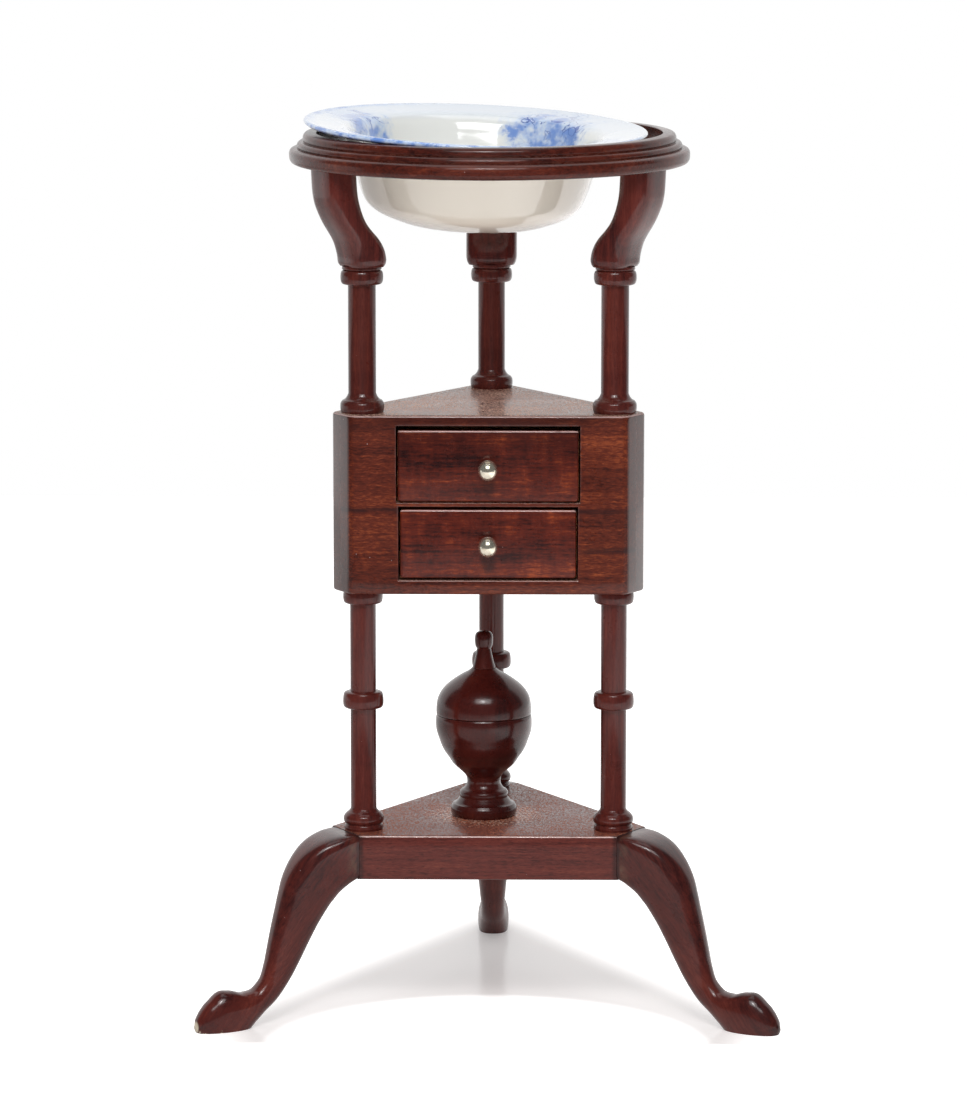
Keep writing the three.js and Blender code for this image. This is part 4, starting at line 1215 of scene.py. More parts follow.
@dataclass
class Columns:
    """The six turned columns and the three S-curved brackets over them."""

    lower_base: Pair = (17.8, 19.5)
    collar: Pair = (17.6, 15.0)
    collar_levels: dict[str, float] = field(default_factory=lambda: {"left": 281.0, "right": 281.0, "back": 284.0})
    top_collar: Pair = (17.3, 11.5)
    upper_base: Pair = (19.2, 17.0)
    capital: Pair = (18.4, 16.0)
    capital_tops: dict[str, float] = field(default_factory=lambda: {"left": 662.6, "right": 662.6, "back": 647.5})
    # How light each piece is painted: partly its own tone, partly painted shade, which darkens the upper columns under
    # the ring.
    tones_and_shade: dict[str, float] = field(default_factory=lambda: {
        "lower_column_left": 1.03, "lower_column_right": 1.0, "lower_column_back": 1.05,
        "upper_column_left": 0.69, "upper_column_right": 0.82, "upper_column_back": 0.95,
        "bracket_left": 1.0, "bracket_right": 1.05, "bracket_back": 1.15,
    })
    steps: int = 64
    lower_base_shares: tuple[Run, ...] = (
        ((0.0, 0.0), (0.93, 0.0)),
        ((0.93, 0.0), (0.96, 0.10), (0.93, 0.22), (0.88, 0.27)),
        ((0.88, 0.27), (0.97, 0.36), (1.0, 0.5), (0.96, 0.64), (0.83, 0.78)),
        ((0.83, 0.78), (0.74, 0.84), (0.66, 0.93), (0.635, 1.0)),
    )
    collar_shares: tuple[Run, ...] = (
        ((0.642, 0.0), (0.78, 0.0)),
        ((0.78, 0.0), (0.93, 0.05), (1.0, 0.2), (1.0, 0.7), (0.94, 0.92), (0.8, 1.0)),
        ((0.8, 1.0), (0.642, 1.0)),
    )
    top_collar_shares: tuple[Run, ...] = (
        ((0.655, 0.0), (0.8, 0.0)),
        ((0.8, 0.0), (0.94, 0.1), (1.0, 0.36), (1.0, 0.8), (0.96, 1.0)),
        ((0.96, 1.0), (0.0, 1.0)),
    )
    upper_base_shares: tuple[Run, ...] = (
        ((0.0, 0.0), (0.955, 0.0)),
        ((0.955, 0.0), (0.99, 0.14), (1.0, 0.32), (0.98, 0.5), (0.9, 0.63)),
        ((0.9, 0.63), (0.79, 0.7), (0.69, 0.84), (0.63, 1.0)),
    )
    capital_shares: tuple[Run, ...] = (
        ((0.658, 0.0), (0.78, 0.0)),
        ((0.78, 0.0), (0.93, 0.06), (1.0, 0.24), (1.0, 0.6), (0.95, 0.75), (0.86, 0.8)),
        ((0.86, 0.8), (0.93, 0.84), (0.94, 0.92), (0.93, 1.0)),
        ((0.93, 1.0), (0.0, 1.0)),
    )
    bracket_top: float = 154.3
    bracket_foot: float = PLAN.column_circle
    bracket_depth: float = 30.0
    bracket_width: float = 46.0
    bracket_spare: float = 12.0
    bracket_squareness: float = 3.4
    bracket_sides: int = 44
    bracket_steps: int = 44
    bracket_shares: tuple[Row, ...] = (
        (0, 0, 1.02, 0.90), (0.03, 0, 1.12, 0.97), (0.08, 0, 1.15, 1), (0.16, 0.05, 1.15, 1),
        (0.235, 0.14, 1.12, 1), (0.30, 0.26, 1.08, 1), (0.365, 0.42, 1.02, 1), (0.43, 0.57, 0.98, 1),
        (0.49, 0.68, 0.97, 1), (0.56, 0.78, 0.98, 1), (0.65, 0.88, 1, 1), (0.76, 0.95, 1, 1), (1, 1, 1, 1),
    )

    def build(self, ring: "WashTop") -> None:
        """Builds and dresses the columns and brackets.

        Args:
            ring: The top, whose leaning ring the brackets meet.
        """
        for name, angle in PLAN.corners:
            lower = self.lower_outline(self.collar_levels[name])
            upper = self.upper_outline(self.capital_tops[name])
            self.build_column(f"lower_column_{name}", lower, angle)
            self.build_column(f"upper_column_{name}", upper, angle)
            self.build_bracket(name, angle, self.capital_tops[name], ring)

    def lower_outline(self, collar_level: float) -> list[Vector]:
        """The outline of a column between the platform and the case.

        Args:
            collar_level: The middle of the collar round its shaft.

        Returns:
            The outline's points.
        """
        base, collar, top = self.lower_base, self.collar, self.top_collar
        low = PLAN.platform_top
        return [
            *outline(self.lower_base_shares, base[0], low, base[1]),
            *outline(self.collar_shares, collar[0], collar_level - collar[1] / 2, collar[1]),
            *outline(self.top_collar_shares, top[0], PLAN.case_bottom - top[1], top[1]),
        ]

    def upper_outline(self, capital_top: float) -> list[Vector]:
        """The outline of a column between the case and its bracket.

        Args:
            capital_top: The level of its capital's top.

        Returns:
            The outline's points.
        """
        base, cap = self.upper_base, self.capital
        return [
            *outline(self.upper_base_shares, base[0], PLAN.case_top, base[1]),
            *outline(self.capital_shares, cap[0], capital_top - cap[1], cap[1]),
        ]

    def build_column(self, node: str, points: list[Vector], angle: float) -> None:
        """One turned column.

        Args:
            node: The solid that it stands for.
            points: Its outline.
            angle: Its direction from the tripod's axis, in degrees.
        """
        foot = PLAN.spot(PLAN.column_circle, angle)
        bm = placed(turn(points, self.steps), Matrix.Translation(foot))
        set_piece(f"turned_{node}", bm, TURNED.along(UP, foot, node, tone_and_shade=self.tones_and_shade[node]), node)

    def build_bracket(self, name: str, angle: float, foot: float, ring: "WashTop") -> None:
        """One S-curved bracket, cut off under the leaning ring.

        Args:
            name: Which bracket it is.
            angle: Its direction in degrees.
            foot: The level of its foot on the capital.
            ring: The top, whose ring it meets.
        """
        rise = ring.underside(PLAN.spot(self.bracket_top, angle)) - foot
        run = self.bracket_top - self.bracket_foot
        path = [at(self.bracket_foot + out * run, foot + up * rise) for up, out, *_ in self.bracket_shares]
        depth, width = self.bracket_depth, self.bracket_width
        sizes = [Vector((deep * depth, wide * width, 0)) for *_, deep, wide in self.bracket_shares]
        rings = []
        for middle, size in zip(smooth(path, self.bracket_steps), smooth(sizes, self.bracket_steps)):
            section = soft_section(size.x, size.y, self.bracket_squareness, self.bracket_sides)
            rings.append([Vector((middle.x + deep, wide, middle.z)) for deep, wide in section])
        rings.append([point + UP * self.bracket_spare for point in rings[-1]])
        bm = placed(loft(rings), PLAN.turned(angle))
        shear_off(bm, ring.frame @ at(0, -PLAN.joint_gap), -ring.normal)
        node = f"bracket_{name}"
        wood = TURNED.along(UP, PLAN.spot(150, angle, 700), node, tone_and_shade=self.tones_and_shade[node])
        set_piece(f"s_bracket_{name}", bm, wood, node, crease=40)


@dataclass
class Case:
    """The triangular case: three upright boards mitred in the middle of its cut corners."""

    inradius: float = PLAN.case_inradius
    corner_radius: float = 148.82
    board: float = 12.0
    bottom_board: float = 12.4
    dust_board: float = 3.5
    plan_rounding: float = 5.0
    edge_radius: float = 2.4
    opening_edges: Pair = (1.4, 0.6)
    mitre_gap: float = 0.05
    # Margin round the rail between the openings, whose edges get no painted highlight.
    unhighlighted_margin: float = 4.0
    openings: tuple[Pair, ...] = ((156.0, 64.6), (160.0, 67.3))
    veins: tuple[Row, ...] = ((452.0, 3.5, -150.0, 150.0), (416.0, 4.0, 82.0, 150.0))
    dark_rim: Row = (514.0, 536.0, 0.75)

    @property
    def levels(self) -> tuple[Pair, Pair]:
        """The lower and upper levels of the two openings."""
        low = PLAN.case_bottom + self.bottom_board
        high = low + self.openings[0][1] + self.dust_board
        return (low, low + self.openings[0][1]), (high, high + self.openings[1][1])

    def build(self) -> None:
        """Builds the upright boards and dresses the boards and blocks inside."""
        self.build_board("case_front", 0.0, True)
        self.build_board("case_side_left", -120.0, False)
        self.build_board("case_side_right", 120.0, False)
        dress(CASE_WOOD.along(ALONG_X, key="boards"), "case_top", "case_bottom")
        dress(INNER_WOOD.along(ALONG_X, key="across"), "dust_board", "lower_stop", "upper_stop")
        dress(INNER_WOOD.along(UP, key="upright"), *(f"corner_block_{name}" for name, _ in PLAN.corners))
        guides = (f"{level}_guide_{side}" for level in ("lower", "upper") for side in ("left", "right"))
        dress(INNER_WOOD.along(ALONG_Y, key="deep"), *guides)

    def opening(self, index: int) -> tuple[float, float, float]:
        """An opening's width, lower level and height."""
        width, height = self.openings[index]
        return width, self.levels[index][0], height

    def board_plan(self) -> list[Vector]:
        """The front board's outline, from the middle of one cut corner to the middle of the other."""
        inner_corner = self.corner_radius - self.board
        gap = math.degrees(self.mitre_gap / self.corner_radius)
        left, right = 210 + gap, 330 - gap
        outer = corner_plan(self.inradius, self.corner_radius)[3:5]
        inner = corner_plan(self.inradius - self.board, inner_corner)[3:5]
        return [
            PLAN.spot(self.corner_radius, left), *outer, PLAN.spot(self.corner_radius, right),
            PLAN.spot(inner_corner, right), *reversed(inner), PLAN.spot(inner_corner, left),
        ]

    def build_board(self, node: str, angle: float, pierced: bool) -> None:
        """One upright board.

        Args:
            node: The solid that it stands for.
            angle: Its turn from the front, in degrees.
            pierced: Whether it has the drawers' openings.
        """
        plan = self.board_plan()
        bm = upright_prism(plan, PLAN.case_bottom, PLAN.case_top)
        outer = [plan[1].xy, plan[2].xy]
        posts = [
            edge for edge in bm.edges
            if length_along(edge) > 1 and min((edge.verts[0].co.xy - corner).length for corner in outer) < MERGE
        ]
        round_edges(bm, posts, self.plan_rounding, 6)
        rims = [edge for edge in bm.edges if self.is_outer_rim(edge)]
        round_edges(bm, rims, self.edge_radius, 4)
        if pierced:
            for (width, _), (low, high), radius in zip(self.openings, self.levels, self.opening_edges):
                self.pierce(bm, width / 2, low, high, radius)
        placed(bm, PLAN.turned(angle) @ Matrix.Translation(-PLAN.axis))
        (_, low), (high, _) = self.levels
        wood = CASE_WOOD.along(
            turned_about_z(angle) @ Vector(ALONG_X), PLAN.axis, node, veins=self.veins if pierced else (),
            darken_upward=self.dark_rim, unhighlighted=(low - self.unhighlighted_margin, high + self.unhighlighted_margin),
        )
        set_piece(f"{node}_board", bm, wood, node, slot=Slot.CASE)

    def is_outer_rim(self, edge: Edge) -> bool:
        """Whether an edge runs round the outside of the board's top or bottom.

        Args:
            edge: An edge of the front board.

        Returns:
            Whether it does.
        """
        ends = [vert.co - PLAN.axis for vert in edge.verts]
        if length_along(edge) > MERGE:
            return False
        middle = (ends[0] + ends[1]) / 2
        ways = [(0.0, -1.0, self.inradius), *((x, y, self.corner_radius) for x, y, _ in PLAN.ways[:2])]
        shortfall = min(limit - (middle.x * x + middle.y * y) for x, y, limit in ways)
        along = (ends[1] - ends[0]).xy.normalized()
        radial = abs(along.dot(middle.xy.normalized())) > 0.9
        return shortfall < self.plan_rounding / 2 and not radial

    def pierce(self, bm: BMesh, half: float, low: float, high: float, radius: float) -> None:
        """Cuts a rectangular opening through the front board and softens its edge.

        Args:
            bm: The board's mesh.
            half: Half the opening's width.
            low: Its lower level.
            high: Its upper level.
            radius: How far its edge is rounded.
        """
        for spot, normal in ((at(half, 0), ALONG_X), (at(-half, 0), ALONG_X), (at(0, low), UP), (at(0, high), UP)):
            bmesh.ops.bisect_plane(bm, geom=[*bm.verts, *bm.edges, *bm.faces], plane_co=spot, plane_no=normal)

        def inside(face: bmesh.types.BMFace) -> bool:
            """Whether a face lies in the opening, on the board's front or back."""
            centre = face.calc_center_median()
            return abs(centre.x) < half and low < centre.z < high and abs(face.normal.y) > 0.9

        bm.normal_update()
        bmesh.ops.delete(bm, geom=[face for face in bm.faces if inside(face)], context="FACES")
        rim = [edge for edge in bm.edges if edge.is_boundary]
        bmesh.ops.bridge_loops(bm, edges=rim)
        front = PLAN.axis.y - self.inradius
        edge_lip = [edge for edge in rim if all(abs(vert.co.y - front) < 0.01 for vert in edge.verts)]
        round_edges(bm, edge_lip, radius, 4)


@dataclass
class Drawer:
    """One drawer: a figured front with a plated knob, and bare sides behind it."""

    level: str
    body: Body
    width: float
    bottom: float
    height: float
    gap_below: float
    gap_above: float
    dim: float
    tone_and_shade: float
    knob_drop: float
    side_gap: float = 1.4
    recess: float = 0.6
    board: float = 12.0
    edge_radius: float = 2.2
    corner_rounding: float = 3.0
    knob_radius: float = 8.4
    knob_length: float = 17.0
    knob_upright: float = 1.09
    knob_seat: float = 0.5
    knob_shadow_drop: float = 15.0
    dim_start: float = 0.45
    figure_spot: float = 61.0
    neck: Pair = (3.0, 3.5)
    flange: Pair = (3.8, 1.2)

    @property
    def face(self) -> float:
        """Where the drawer's front face lies along Y."""
        return PLAN.axis.y - PLAN.case_inradius + self.recess

    def knob_spot(self, below: float) -> Vector:
        """A place on the front face, this far below the knob's place in its middle."""
        return Vector((0, self.face, self.bottom + self.height / 2 - below - self.knob_drop))

    def build(self) -> None:
        """Builds and dresses the drawer."""
        self.build_front()
        self.build_knob()
        drawer = f"{self.level}_drawer"
        dress(INNER_WOOD.along(ALONG_Y, key=f"{self.level}_sides"), f"{drawer}_side_left", f"{drawer}_side_right")
        dress(INNER_WOOD.along(ALONG_X, key=f"{self.level}_wide"), f"{drawer}_back", f"{drawer}_bottom")
        dress(Plating().material(), f"{self.level}_knob_nut")

    def build_front(self) -> None:
        """The front board with its rounded rim."""
        half = self.width / 2 - self.side_gap
        low, high = self.bottom + self.gap_below, self.bottom + self.height - self.gap_above
        bm = bmesh.new()
        middle = Vector((0, self.face + self.board / 2, (low + high) / 2))
        size = Vector((2 * half, self.board, high - low))
        bmesh.ops.create_cube(bm, size=1.0, matrix=Matrix.LocRotScale(middle, None, size))
        round_edges(bm, [edge for edge in bm.edges if length_along(edge, 1) > 1], self.corner_rounding, 5)
        rim = [edge for edge in bm.edges if all(abs(vert.co.y - self.face) < 0.01 for vert in edge.verts)]
        round_edges(bm, rim, self.edge_radius, 5)
        figure = Vector((self.figure_spot, PLAN.axis.y, self.bottom * 3))
        dim_from = low + self.dim_start * (high - low)
        # The front's colour holds the knob's painted shadow below it.
        wood = DRAWER_WOOD.along(
            ALONG_X, figure, f"{self.level}_front", darken_upward=(dim_from, high, self.dim), tone_and_shade=self.tone_and_shade,
            knob_shadow=self.knob_spot(self.knob_shadow_drop),
        )
        node = f"{self.level}_drawer_front"
        set_piece(f"{self.level}_drawer_face", bm, wood, node, self.body, Slot.CASE)

    def build_knob(self) -> None:
        """The knob: a flange, a neck and an egg that is a little taller than wide."""
        neck_top = self.flange[1] + self.neck[1]
        wide, thick = self.flange
        bm = turn([
            at(0, 0), at(wide, 0), at(wide, 0.6 * thick), at(0.85 * wide, thick), at(self.neck[0], 1.5 * thick),
            at(self.neck[0], neck_top + 3), at(0, neck_top + 3),
        ], 32)
        middle = neck_top + self.knob_length / 2
        size = Vector((self.knob_radius, self.knob_radius * self.knob_upright, self.knob_length / 2))
        egg = Matrix.LocRotScale(at(0, middle), None, size)
        bmesh.ops.create_uvsphere(bm, u_segments=40, v_segments=24, radius=1.0, matrix=egg)
        placed(bm, Matrix.Translation(self.knob_spot(self.knob_seat)) @ Matrix.Rotation(math.pi / 2, 4, "X"))
        node = f"{self.level}_knob"
        set_piece(f"{node}_plated", bm, Plating().material(), node, self.body, Slot.NICKEL)


@dataclass
class Urn:
    """The turned soap urn: a footed body, a lid with a spigot and a finial."""

    radius: float = 42.8
    seam: float = 256.5
    mouth: float = 35.0
    well_level: float = 207.0
    lid_top: float = 298.0
    lid_bore_top: float = 284.0
    spigot_depth: float = 4.5
    spigot_wall: float = 3.0
    finial_top: float = 331.0
    finial_neck: float = 10.2
    steps: int = 96
    well_steps: int = 36
    body_shares: tuple[Run, ...] = (
        ((0.0, 0.0), (0.65, 0.0)),
        ((0.65, 0.0), (0.68, 0.03), (0.685, 0.085), (0.645, 0.12)),
        ((0.645, 0.12), (0.59, 0.13), (0.53, 0.165), (0.5, 0.185)),
        ((0.5, 0.185), (0.505, 0.2), (0.5, 0.235), (0.465, 0.255)),
        ((0.465, 0.255), (0.41, 0.27), (0.356, 0.31), (0.348, 0.345)),
        ((0.348, 0.345), (0.375, 0.395), (0.51, 0.46), (0.645, 0.52), (0.73, 0.58), (0.82, 0.64),
         (0.885, 0.70), (0.93, 0.76), (0.98, 0.83), (1.0, 0.89), (1.0, 0.95), (0.99, 0.985), (0.975, 0.999)),
    )
    well_shares: Run = ((1, 0), (1, 0.2), (0.95, 0.4), (0.83, 0.62), (0.62, 0.82), (0.35, 0.95), (0, 1))
    lid_shares: Run = (
        (0.97, 0.0), (0.985, 0.012), (0.99, 0.1), (0.98, 0.24), (0.95, 0.37), (0.89, 0.49), (0.79, 0.615),
        (0.64, 0.74), (0.455, 0.865), (0.32, 0.94), (0.25, 1.0),
    )
    lid_bore_shares: Run = ((0, 1), (0.5, 0.94), (0.78, 0.78), (0.92, 0.55), (0.99, 0.3), (1, 0))
    finial_shares: tuple[Run, ...] = (
        ((0.0, 0.0), (1.0, 0.0)),
        ((1.0, 0.0), (0.86, 0.16), (0.74, 0.32), (0.62, 0.5)),
        ((0.62, 0.5), (0.6, 0.52)),
        ((0.6, 0.52), (0.72, 0.58), (0.78, 0.68), (0.78, 0.84), (0.68, 0.94), (0.4, 0.99), (0, 1)),
    )

    def build(self) -> None:
        """Builds and dresses the body, the lid and the finial."""
        gap = PLAN.joint_gap
        low = PLAN.platform_top
        height = self.seam - low
        depth = self.seam - self.well_level
        well = [at(across * self.mouth, self.seam - down * depth) for across, down in self.well_shares]
        inner = smooth(well, self.well_steps)
        self.set_turned("urn_body", [*outline(self.body_shares, self.radius, low, height), *inner], Body.STAND)

        spigot = self.mouth - gap
        bore = spigot - self.spigot_wall
        seat = self.seam + gap
        dome = self.lid_top - self.seam
        lid = [
            *outline((self.lid_bore_shares,), bore, self.seam, self.lid_bore_top - self.seam),
            at(bore, self.seam - self.spigot_depth), at(spigot, self.seam - self.spigot_depth), at(spigot, seat),
            *outline((self.lid_shares,), self.radius, seat, dome), at(0, seat + dome),
        ]
        self.set_turned("urn_lid", lid, Body.URN_COVER)
        tip = outline(self.finial_shares, self.finial_neck, self.lid_top + 2 * gap, self.finial_top - self.lid_top)
        self.set_turned("urn_finial", tip, Body.URN_COVER)

    def set_turned(self, node: str, points: list[Vector], body: Body) -> None:
        """Turns one of the urn's pieces and sets it on the platform.

        Args:
            node: The solid that it stands for.
            points: Its outline.
            body: The body that it rides on.
        """
        foot = PLAN.axis + at(PLAN.urn_shift, 0)
        bm = placed(turn(points, self.steps), Matrix.Translation(foot))
        set_piece(f"turned_{node}", bm, URN_WOOD.along(UP, foot, node), node, body)


@dataclass
class WashTop:
    """The moulded ring, which leans a little to the front, and the basin in it."""

    thickness: float = 26.5
    bore: float = 127.0
    level: float = 748.7
    lean: float = 1.4
    rebate: Pair = (152.0, 8.5)
    chamfer: float = 0.6
    moulding: float = 18.5
    steps: int = 128
    moulding_shares: tuple[Run, ...] = (
        ((0.22, 0.0), (0.1, 0.035), (0.02, 0.12), (0.0, 0.22), (0.0, 0.34), (0.05, 0.43), (0.2, 0.49)),
        ((0.2, 0.49), (0.3, 0.5), (0.4, 0.505)),
        ((0.4, 0.505), (0.365, 0.56), (0.4, 0.65), (0.5, 0.7), (0.6, 0.705)),
        ((0.6, 0.705), (0.68, 0.712)),
        ((0.68, 0.712), (0.65, 0.78), (0.67, 0.9), (0.76, 0.98), (0.9, 1.0)),
    )
    basin_radius: float = 151.5
    basin_depth: float = 91.0
    basin_level: float = 781.5
    basin_shift: Pair = (-12.0, 3.0)
    basin_lean: Pair = (3.4, 2.46)
    basin_steps: int = 144
    basin_shares: tuple[Run, ...] = (
        ((0, -0.975), (0.205, -0.975)),
        ((0.205, -0.975), (0.212, -0.995), (0.228, -1.0), (0.245, -0.998), (0.39, -0.965), (0.49, -0.912),
         (0.575, -0.845), (0.627, -0.765), (0.655, -0.675), (0.685, -0.53), (0.716, -0.36), (0.748, -0.215),
         (0.778, -0.135), (0.832, -0.093), (0.911, -0.077), (0.977, -0.055), (0.998, -0.035), (1, -0.02),
         (0.994, -0.005), (0.983, 0), (0.962, -0.007), (0.89, -0.027), (0.805, -0.045), (0.752, -0.068),
         (0.722, -0.125), (0.7, -0.24), (0.667, -0.44), (0.64, -0.59), (0.6, -0.71), (0.528, -0.808),
         (0.42, -0.874), (0.265, -0.918), (0, -0.934)),
    )

    @property
    def frame(self) -> Matrix:
        """The leaning ring's place, at the middle of its underside."""
        return Matrix.Translation(PLAN.axis + at(0, self.level)) @ Matrix.Rotation(math.radians(self.lean), 4, "X")

    @property
    def normal(self) -> Vector:
        """The direction that the ring's top faces."""
        return (self.frame.to_3x3() @ UP).normalized()

    def underside(self, spot: Vector) -> float:
        """The level of the ring's underside over a place in the plan."""
        middle = self.frame.translation
        return middle.z - ((spot - middle).xy.dot(self.normal.xy)) / self.normal.z

    def build(self) -> None:
        """Builds and dresses the ring and the basin."""
        self.build_ring()
        self.build_basin()

    def build_ring(self) -> None:
        """The ring with its moulded edge and the rebate for the basin."""
        drawn: list[Vector] = []
        for run in self.moulding_shares:
            edge = [at(PLAN.ring_radius - inward * self.moulding, up * self.thickness) for inward, up in run]
            drawn += smooth(edge, 6 * (len(run) - 1))
        seat, depth = self.rebate
        floor = self.thickness - depth
        points = [
            at(self.bore, 0), *drawn, at(seat + self.chamfer, self.thickness), at(seat, self.thickness - self.chamfer),
            at(seat, floor), at(self.bore, floor), at(self.bore, 0),
        ]
        bm = placed(turn(points, self.steps), self.frame)
        set_piece("moulded_ring", bm, RING_WOOD.along(ALONG_X, Vector((40, 300, 700)), "ring"), "top_ring", crease=28)

    def build_basin(self) -> None:
        """The porcelain basin, which has slipped to the left and leans in the ring."""
        points = outline(self.basin_shares, self.basin_radius, 0.0, self.basin_depth, 4)
        bm = turn(points, self.basin_steps)
        marks = self.map_basin(bm, points)
        lean = Matrix.Rotation(math.radians(self.basin_lean[0]), 4, "X")
        lean = lean @ Matrix.Rotation(math.radians(self.basin_lean[1]), 4, "Y")
        middle = PLAN.axis + Vector((*self.basin_shift, self.basin_level))
        placed(bm, Matrix.Translation(middle) @ lean)
        set_piece("porcelain_basin", bm, Glaze().material(*marks), "basin", Body.BASIN, Slot.PORCELAIN, 60)

    def map_basin(self, bm: BMesh, points: list[Vector]) -> tuple[float, float, float]:
        """Gives the basin its map: once round it, and along its outline.

        Args:
            bm: The basin's mesh, standing on its own axis.
            points: Its outline.

        Returns:
            Where the outer lip, the rim's inner shoulder and the foot of the wall lie along the outline.
        """
        lengths = [0.0]
        for a, b in zip(points, points[1:]):
            lengths.append(lengths[-1] + (b - a).length)
        tree = KDTree(len(points))
        for i, point in enumerate(points):
            tree.insert(at(max(point.x, 0.0), point.z), i)
        tree.balance()

        def along(radius: float, height: float) -> float:
            """The share of the outline's length at a place on it."""
            _, i, _ = tree.find(at(radius, height))
            return lengths[i] / lengths[-1]

        layer = bm.loops.layers.uv.new("glaze_map")
        for face in bm.faces:
            turns = [math.atan2(loop.vert.co.y, loop.vert.co.x) / math.tau % 1.0 for loop in face.loops]
            wraps = max(turns) - min(turns) > 0.5
            for loop, share in zip(face.loops, turns):
                co = loop.vert.co
                around = share + 1.0 if wraps and share < 0.5 else share
                loop[layer].uv = (around, along(math.hypot(co.x, co.y), co.z))
        size, deep = self.basin_radius, self.basin_depth
        return along(0.983 * size, 0.0), along(0.752 * size, -0.068 * deep), along(0.6 * size, -0.71 * deep)


# The studio


@dataclass(frozen=True)
class Lamp:
    """One softbox: where it hangs, what it points at, its size and its power in watts."""

    name: str
    spot: Row
    aim: Row
    width: float
    height: float
    power: float
    mirrored: bool = True

    def build(self) -> None:
        """Builds the softbox, which the camera doesn't see."""
        data = bpy.data.lights.new(self.name, "AREA")
        data.shape = "RECTANGLE"
        data.size, data.size_y, data.energy = self.width * MM, self.height * MM, self.power
        lamp = add_object(self.name, data)
        spot, aim = Vector(self.spot) * MM, Vector(self.aim) * MM
        lamp.location = spot
        lamp.rotation_euler = (aim - spot).to_track_quat("-Z", "Y").to_euler()
        lamp.visible_camera = False
        lamp.visible_glossy = self.mirrored


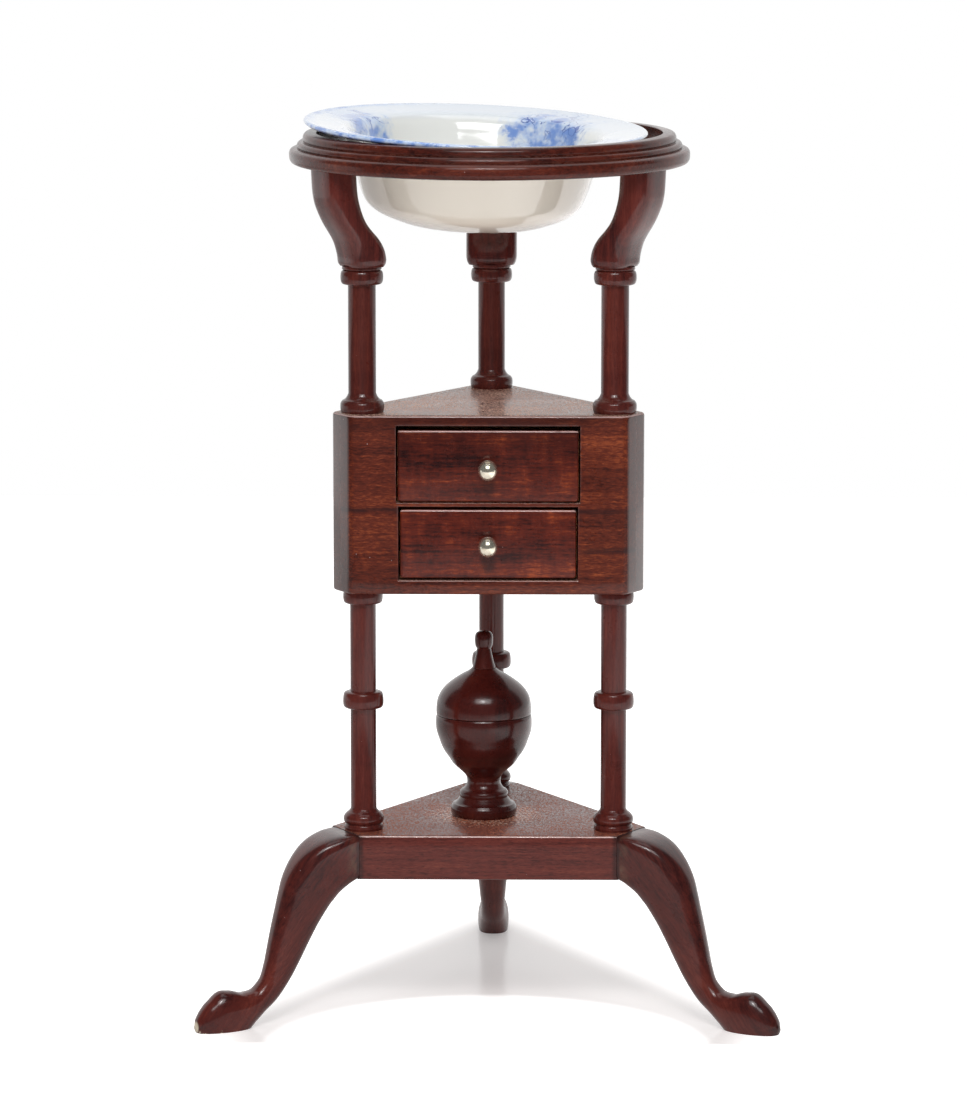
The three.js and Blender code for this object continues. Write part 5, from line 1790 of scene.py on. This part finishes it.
@dataclass(frozen=True)
class Studio:
    """A white floor before a white backdrop, with the photographer's side left dark."""

    floor_front: float = 2000.0
    floor_back: float = 3200.0
    floor_half: float = 2600.0
    # A warm tint on the white floor: painted light, standing for the warm light that the mahogany throws into its
    # shadow.
    floor_and_bounce_color: Row = (0.9, 0.855, 0.84, 1)
    floor_rough: float = 0.2
    floor_shine: float = 0.075
    floor_lift: float = 0.85
    shadow_lift: float = 0.27
    pool: Pair = (0.0, -256.0)
    pool_edge: Pair = (0.216, 0.169)
    shade_back: float = 240.0
    shade_front: float = -150.0
    shade_side: Pair = (0.890, 0.457)
    shade_edge: Pair = (-0.01, 0.052)
    bright_front: Pair = (-0.225, -0.25)
    mirrored_span: Pair = (0.05, 0.6)
    mirrored_lift: Pair = (0.15, 0.8)
    ground_light: float = 0.58
    front_light: float = 0.1
    lamps: tuple["Lamp", ...] = (
        Lamp("front_softbox", (-30, -1740, 1860), (0, 0, 420), 1400, 840, 19),
        Lamp("key_spot", (-60, -1760, 1840), (0, 0, 420), 300, 300, 6.5),
        Lamp("fill_panel", (0, -2250, 320), (0, 0, 450), 2400, 1300, 20, False),
        Lamp("top_softbox", (0, -100, 2700), (0, -60, 300), 1700, 1500, 12),
    )

    def build(self) -> None:
        """Builds the floor, the lamps and the world."""
        self.build_floor()
        for lamp in self.lamps:
            lamp.build()
        self.build_world()

    def build_floor(self) -> None:
        """The floor, whose white is lifted for the camera and in mirrorings, so that it keeps the shadow."""
        half, front, back = (value * MM for value in (self.floor_half, self.floor_front, self.floor_back))
        mesh = bpy.data.meshes.new("studio_floor")
        mesh.from_pydata([(-half, -front, 0), (half, -front, 0), (half, back, 0), (-half, back, 0)], [], [(0, 1, 2, 3)])
        floor = add_object("studio_floor", mesh)
        material, g, shader = new_material("studio_floor")
        x, y, _ = g.split(g.wire("ShaderNodeTexCoord", "Object"))
        behind = (g.calc("MAXIMUM", y, self.shade_front * MM) - self.shade_back * MM) * self.shade_side[1]
        outside = (abs(x) * self.shade_side[0] + behind).remap(*self.shade_edge, self.shadow_lift, self.floor_lift)
        pool_x, pool_y = (value * MM for value in self.pool)
        near = g.wire("ShaderNodeCombineXYZ", 0, {0: x - pool_x, 1: g.calc("MAXIMUM", y - pool_y, 0.0)})
        reach = g.vector("LENGTH", near, key="Value")
        lift = g.calc("MAXIMUM", outside, reach.remap(*self.pool_edge, 0.0, self.floor_lift))
        lift = g.calc("MAXIMUM", lift, y.remap(*self.bright_front, 0.0, self.floor_lift))
        seen = g.wire("ShaderNodeLightPath", "Is Camera Ray")
        shine = seen.sibling("Is Glossy Ray") * x.remap(*self.mirrored_span, *self.mirrored_lift)
        g.feed(shader, {
            "Emission Strength": seen * lift + shine, "Emission Color": (1, 1, 1, 1), "Base Color": self.floor_and_bounce_color,
            "Roughness": self.floor_rough, "Specular IOR Level": self.floor_shine,
        })
        mesh.materials.append(material)
        floor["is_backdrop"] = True

    def build_world(self) -> None:
        """White for the camera, and for light and reflections white behind and dark in front."""
        world = bpy.data.worlds.new("studio")
        world.use_nodes = True
        world.node_tree.nodes.clear()
        g = Graph(world.node_tree)
        _, y, z = g.split(g.wire("ShaderNodeTexCoord", "Generated"))
        back = (y + z.remap(0.05, -0.05, 0.0, self.ground_light)).remap(0.3, 0.45, self.front_light, 1.0)
        strength = g.calc("MAXIMUM", g.wire("ShaderNodeLightPath", "Is Camera Ray"), back)
        light = g.wire("ShaderNodeBackground", 0, {"Color": (1, 1, 1, 1), "Strength": strength})
        g.add("ShaderNodeOutputWorld", {"Surface": light})
        bpy.context.scene.world = world
        bpy.context.scene.view_settings.view_transform = "Standard"


@dataclass(frozen=True)
class PhotoCamera:
    """The camera at the photograph's place, worked out from the feet, the case and the ring."""

    frame_height: float = 1100.0
    focal: float = 4870.0
    distance: float = 4325.0
    aim_level: float = 404.2
    pitch: float = 8.5
    orbit: float = 0.9
    side_step: float = 5.33

    def build(self) -> None:
        """Builds the camera and makes it the scene's."""
        pitch, orbit = math.radians(self.pitch), math.radians(self.orbit)
        right = Vector((math.cos(orbit), math.sin(orbit), 0))
        ahead = Vector((-math.sin(orbit) * math.cos(pitch), math.cos(orbit) * math.cos(pitch), -math.sin(pitch)))
        above = right.cross(ahead)
        spot = PLAN.axis + Vector((0, 0, self.aim_level)) - self.distance * ahead - self.side_step * right
        data = bpy.data.cameras.new("photo_camera")
        data.sensor_fit = "VERTICAL"
        data.sensor_height = 36.0
        data.lens = self.focal / self.frame_height * data.sensor_height
        data.clip_end = 100.0
        camera = add_object("photo_camera", data)
        axes = Matrix((right, above, -ahead)).transposed().to_4x4()
        camera.matrix_world = Matrix.Translation(spot * MM) @ axes
        bpy.context.scene.camera = camera


def main() -> None:
    PhotoCamera().build()
    Studio().build()
    top = WashTop()
    case = Case()
    Tripod().build()
    Columns().build(top)
    case.build()
    Drawer(
        "lower", Body.LOWER_DRAWER, *case.opening(0), gap_below=2.0, gap_above=2.4, dim=0.1, tone_and_shade=1.1, knob_drop=0.3,
    ).build()
    Drawer(
        "upper", Body.UPPER_DRAWER, *case.opening(1), gap_below=1.0, gap_above=3.8, dim=0.5, tone_and_shade=0.98, knob_drop=2.8,
    ).build()
    Urn().build()
    top.build()
    boxes = [[list(corner) for corner in box] for box in (SOLID_BOX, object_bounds())]
    LOG.info("boxes: %s", boxes)


if __name__ == "__main__":
    main()
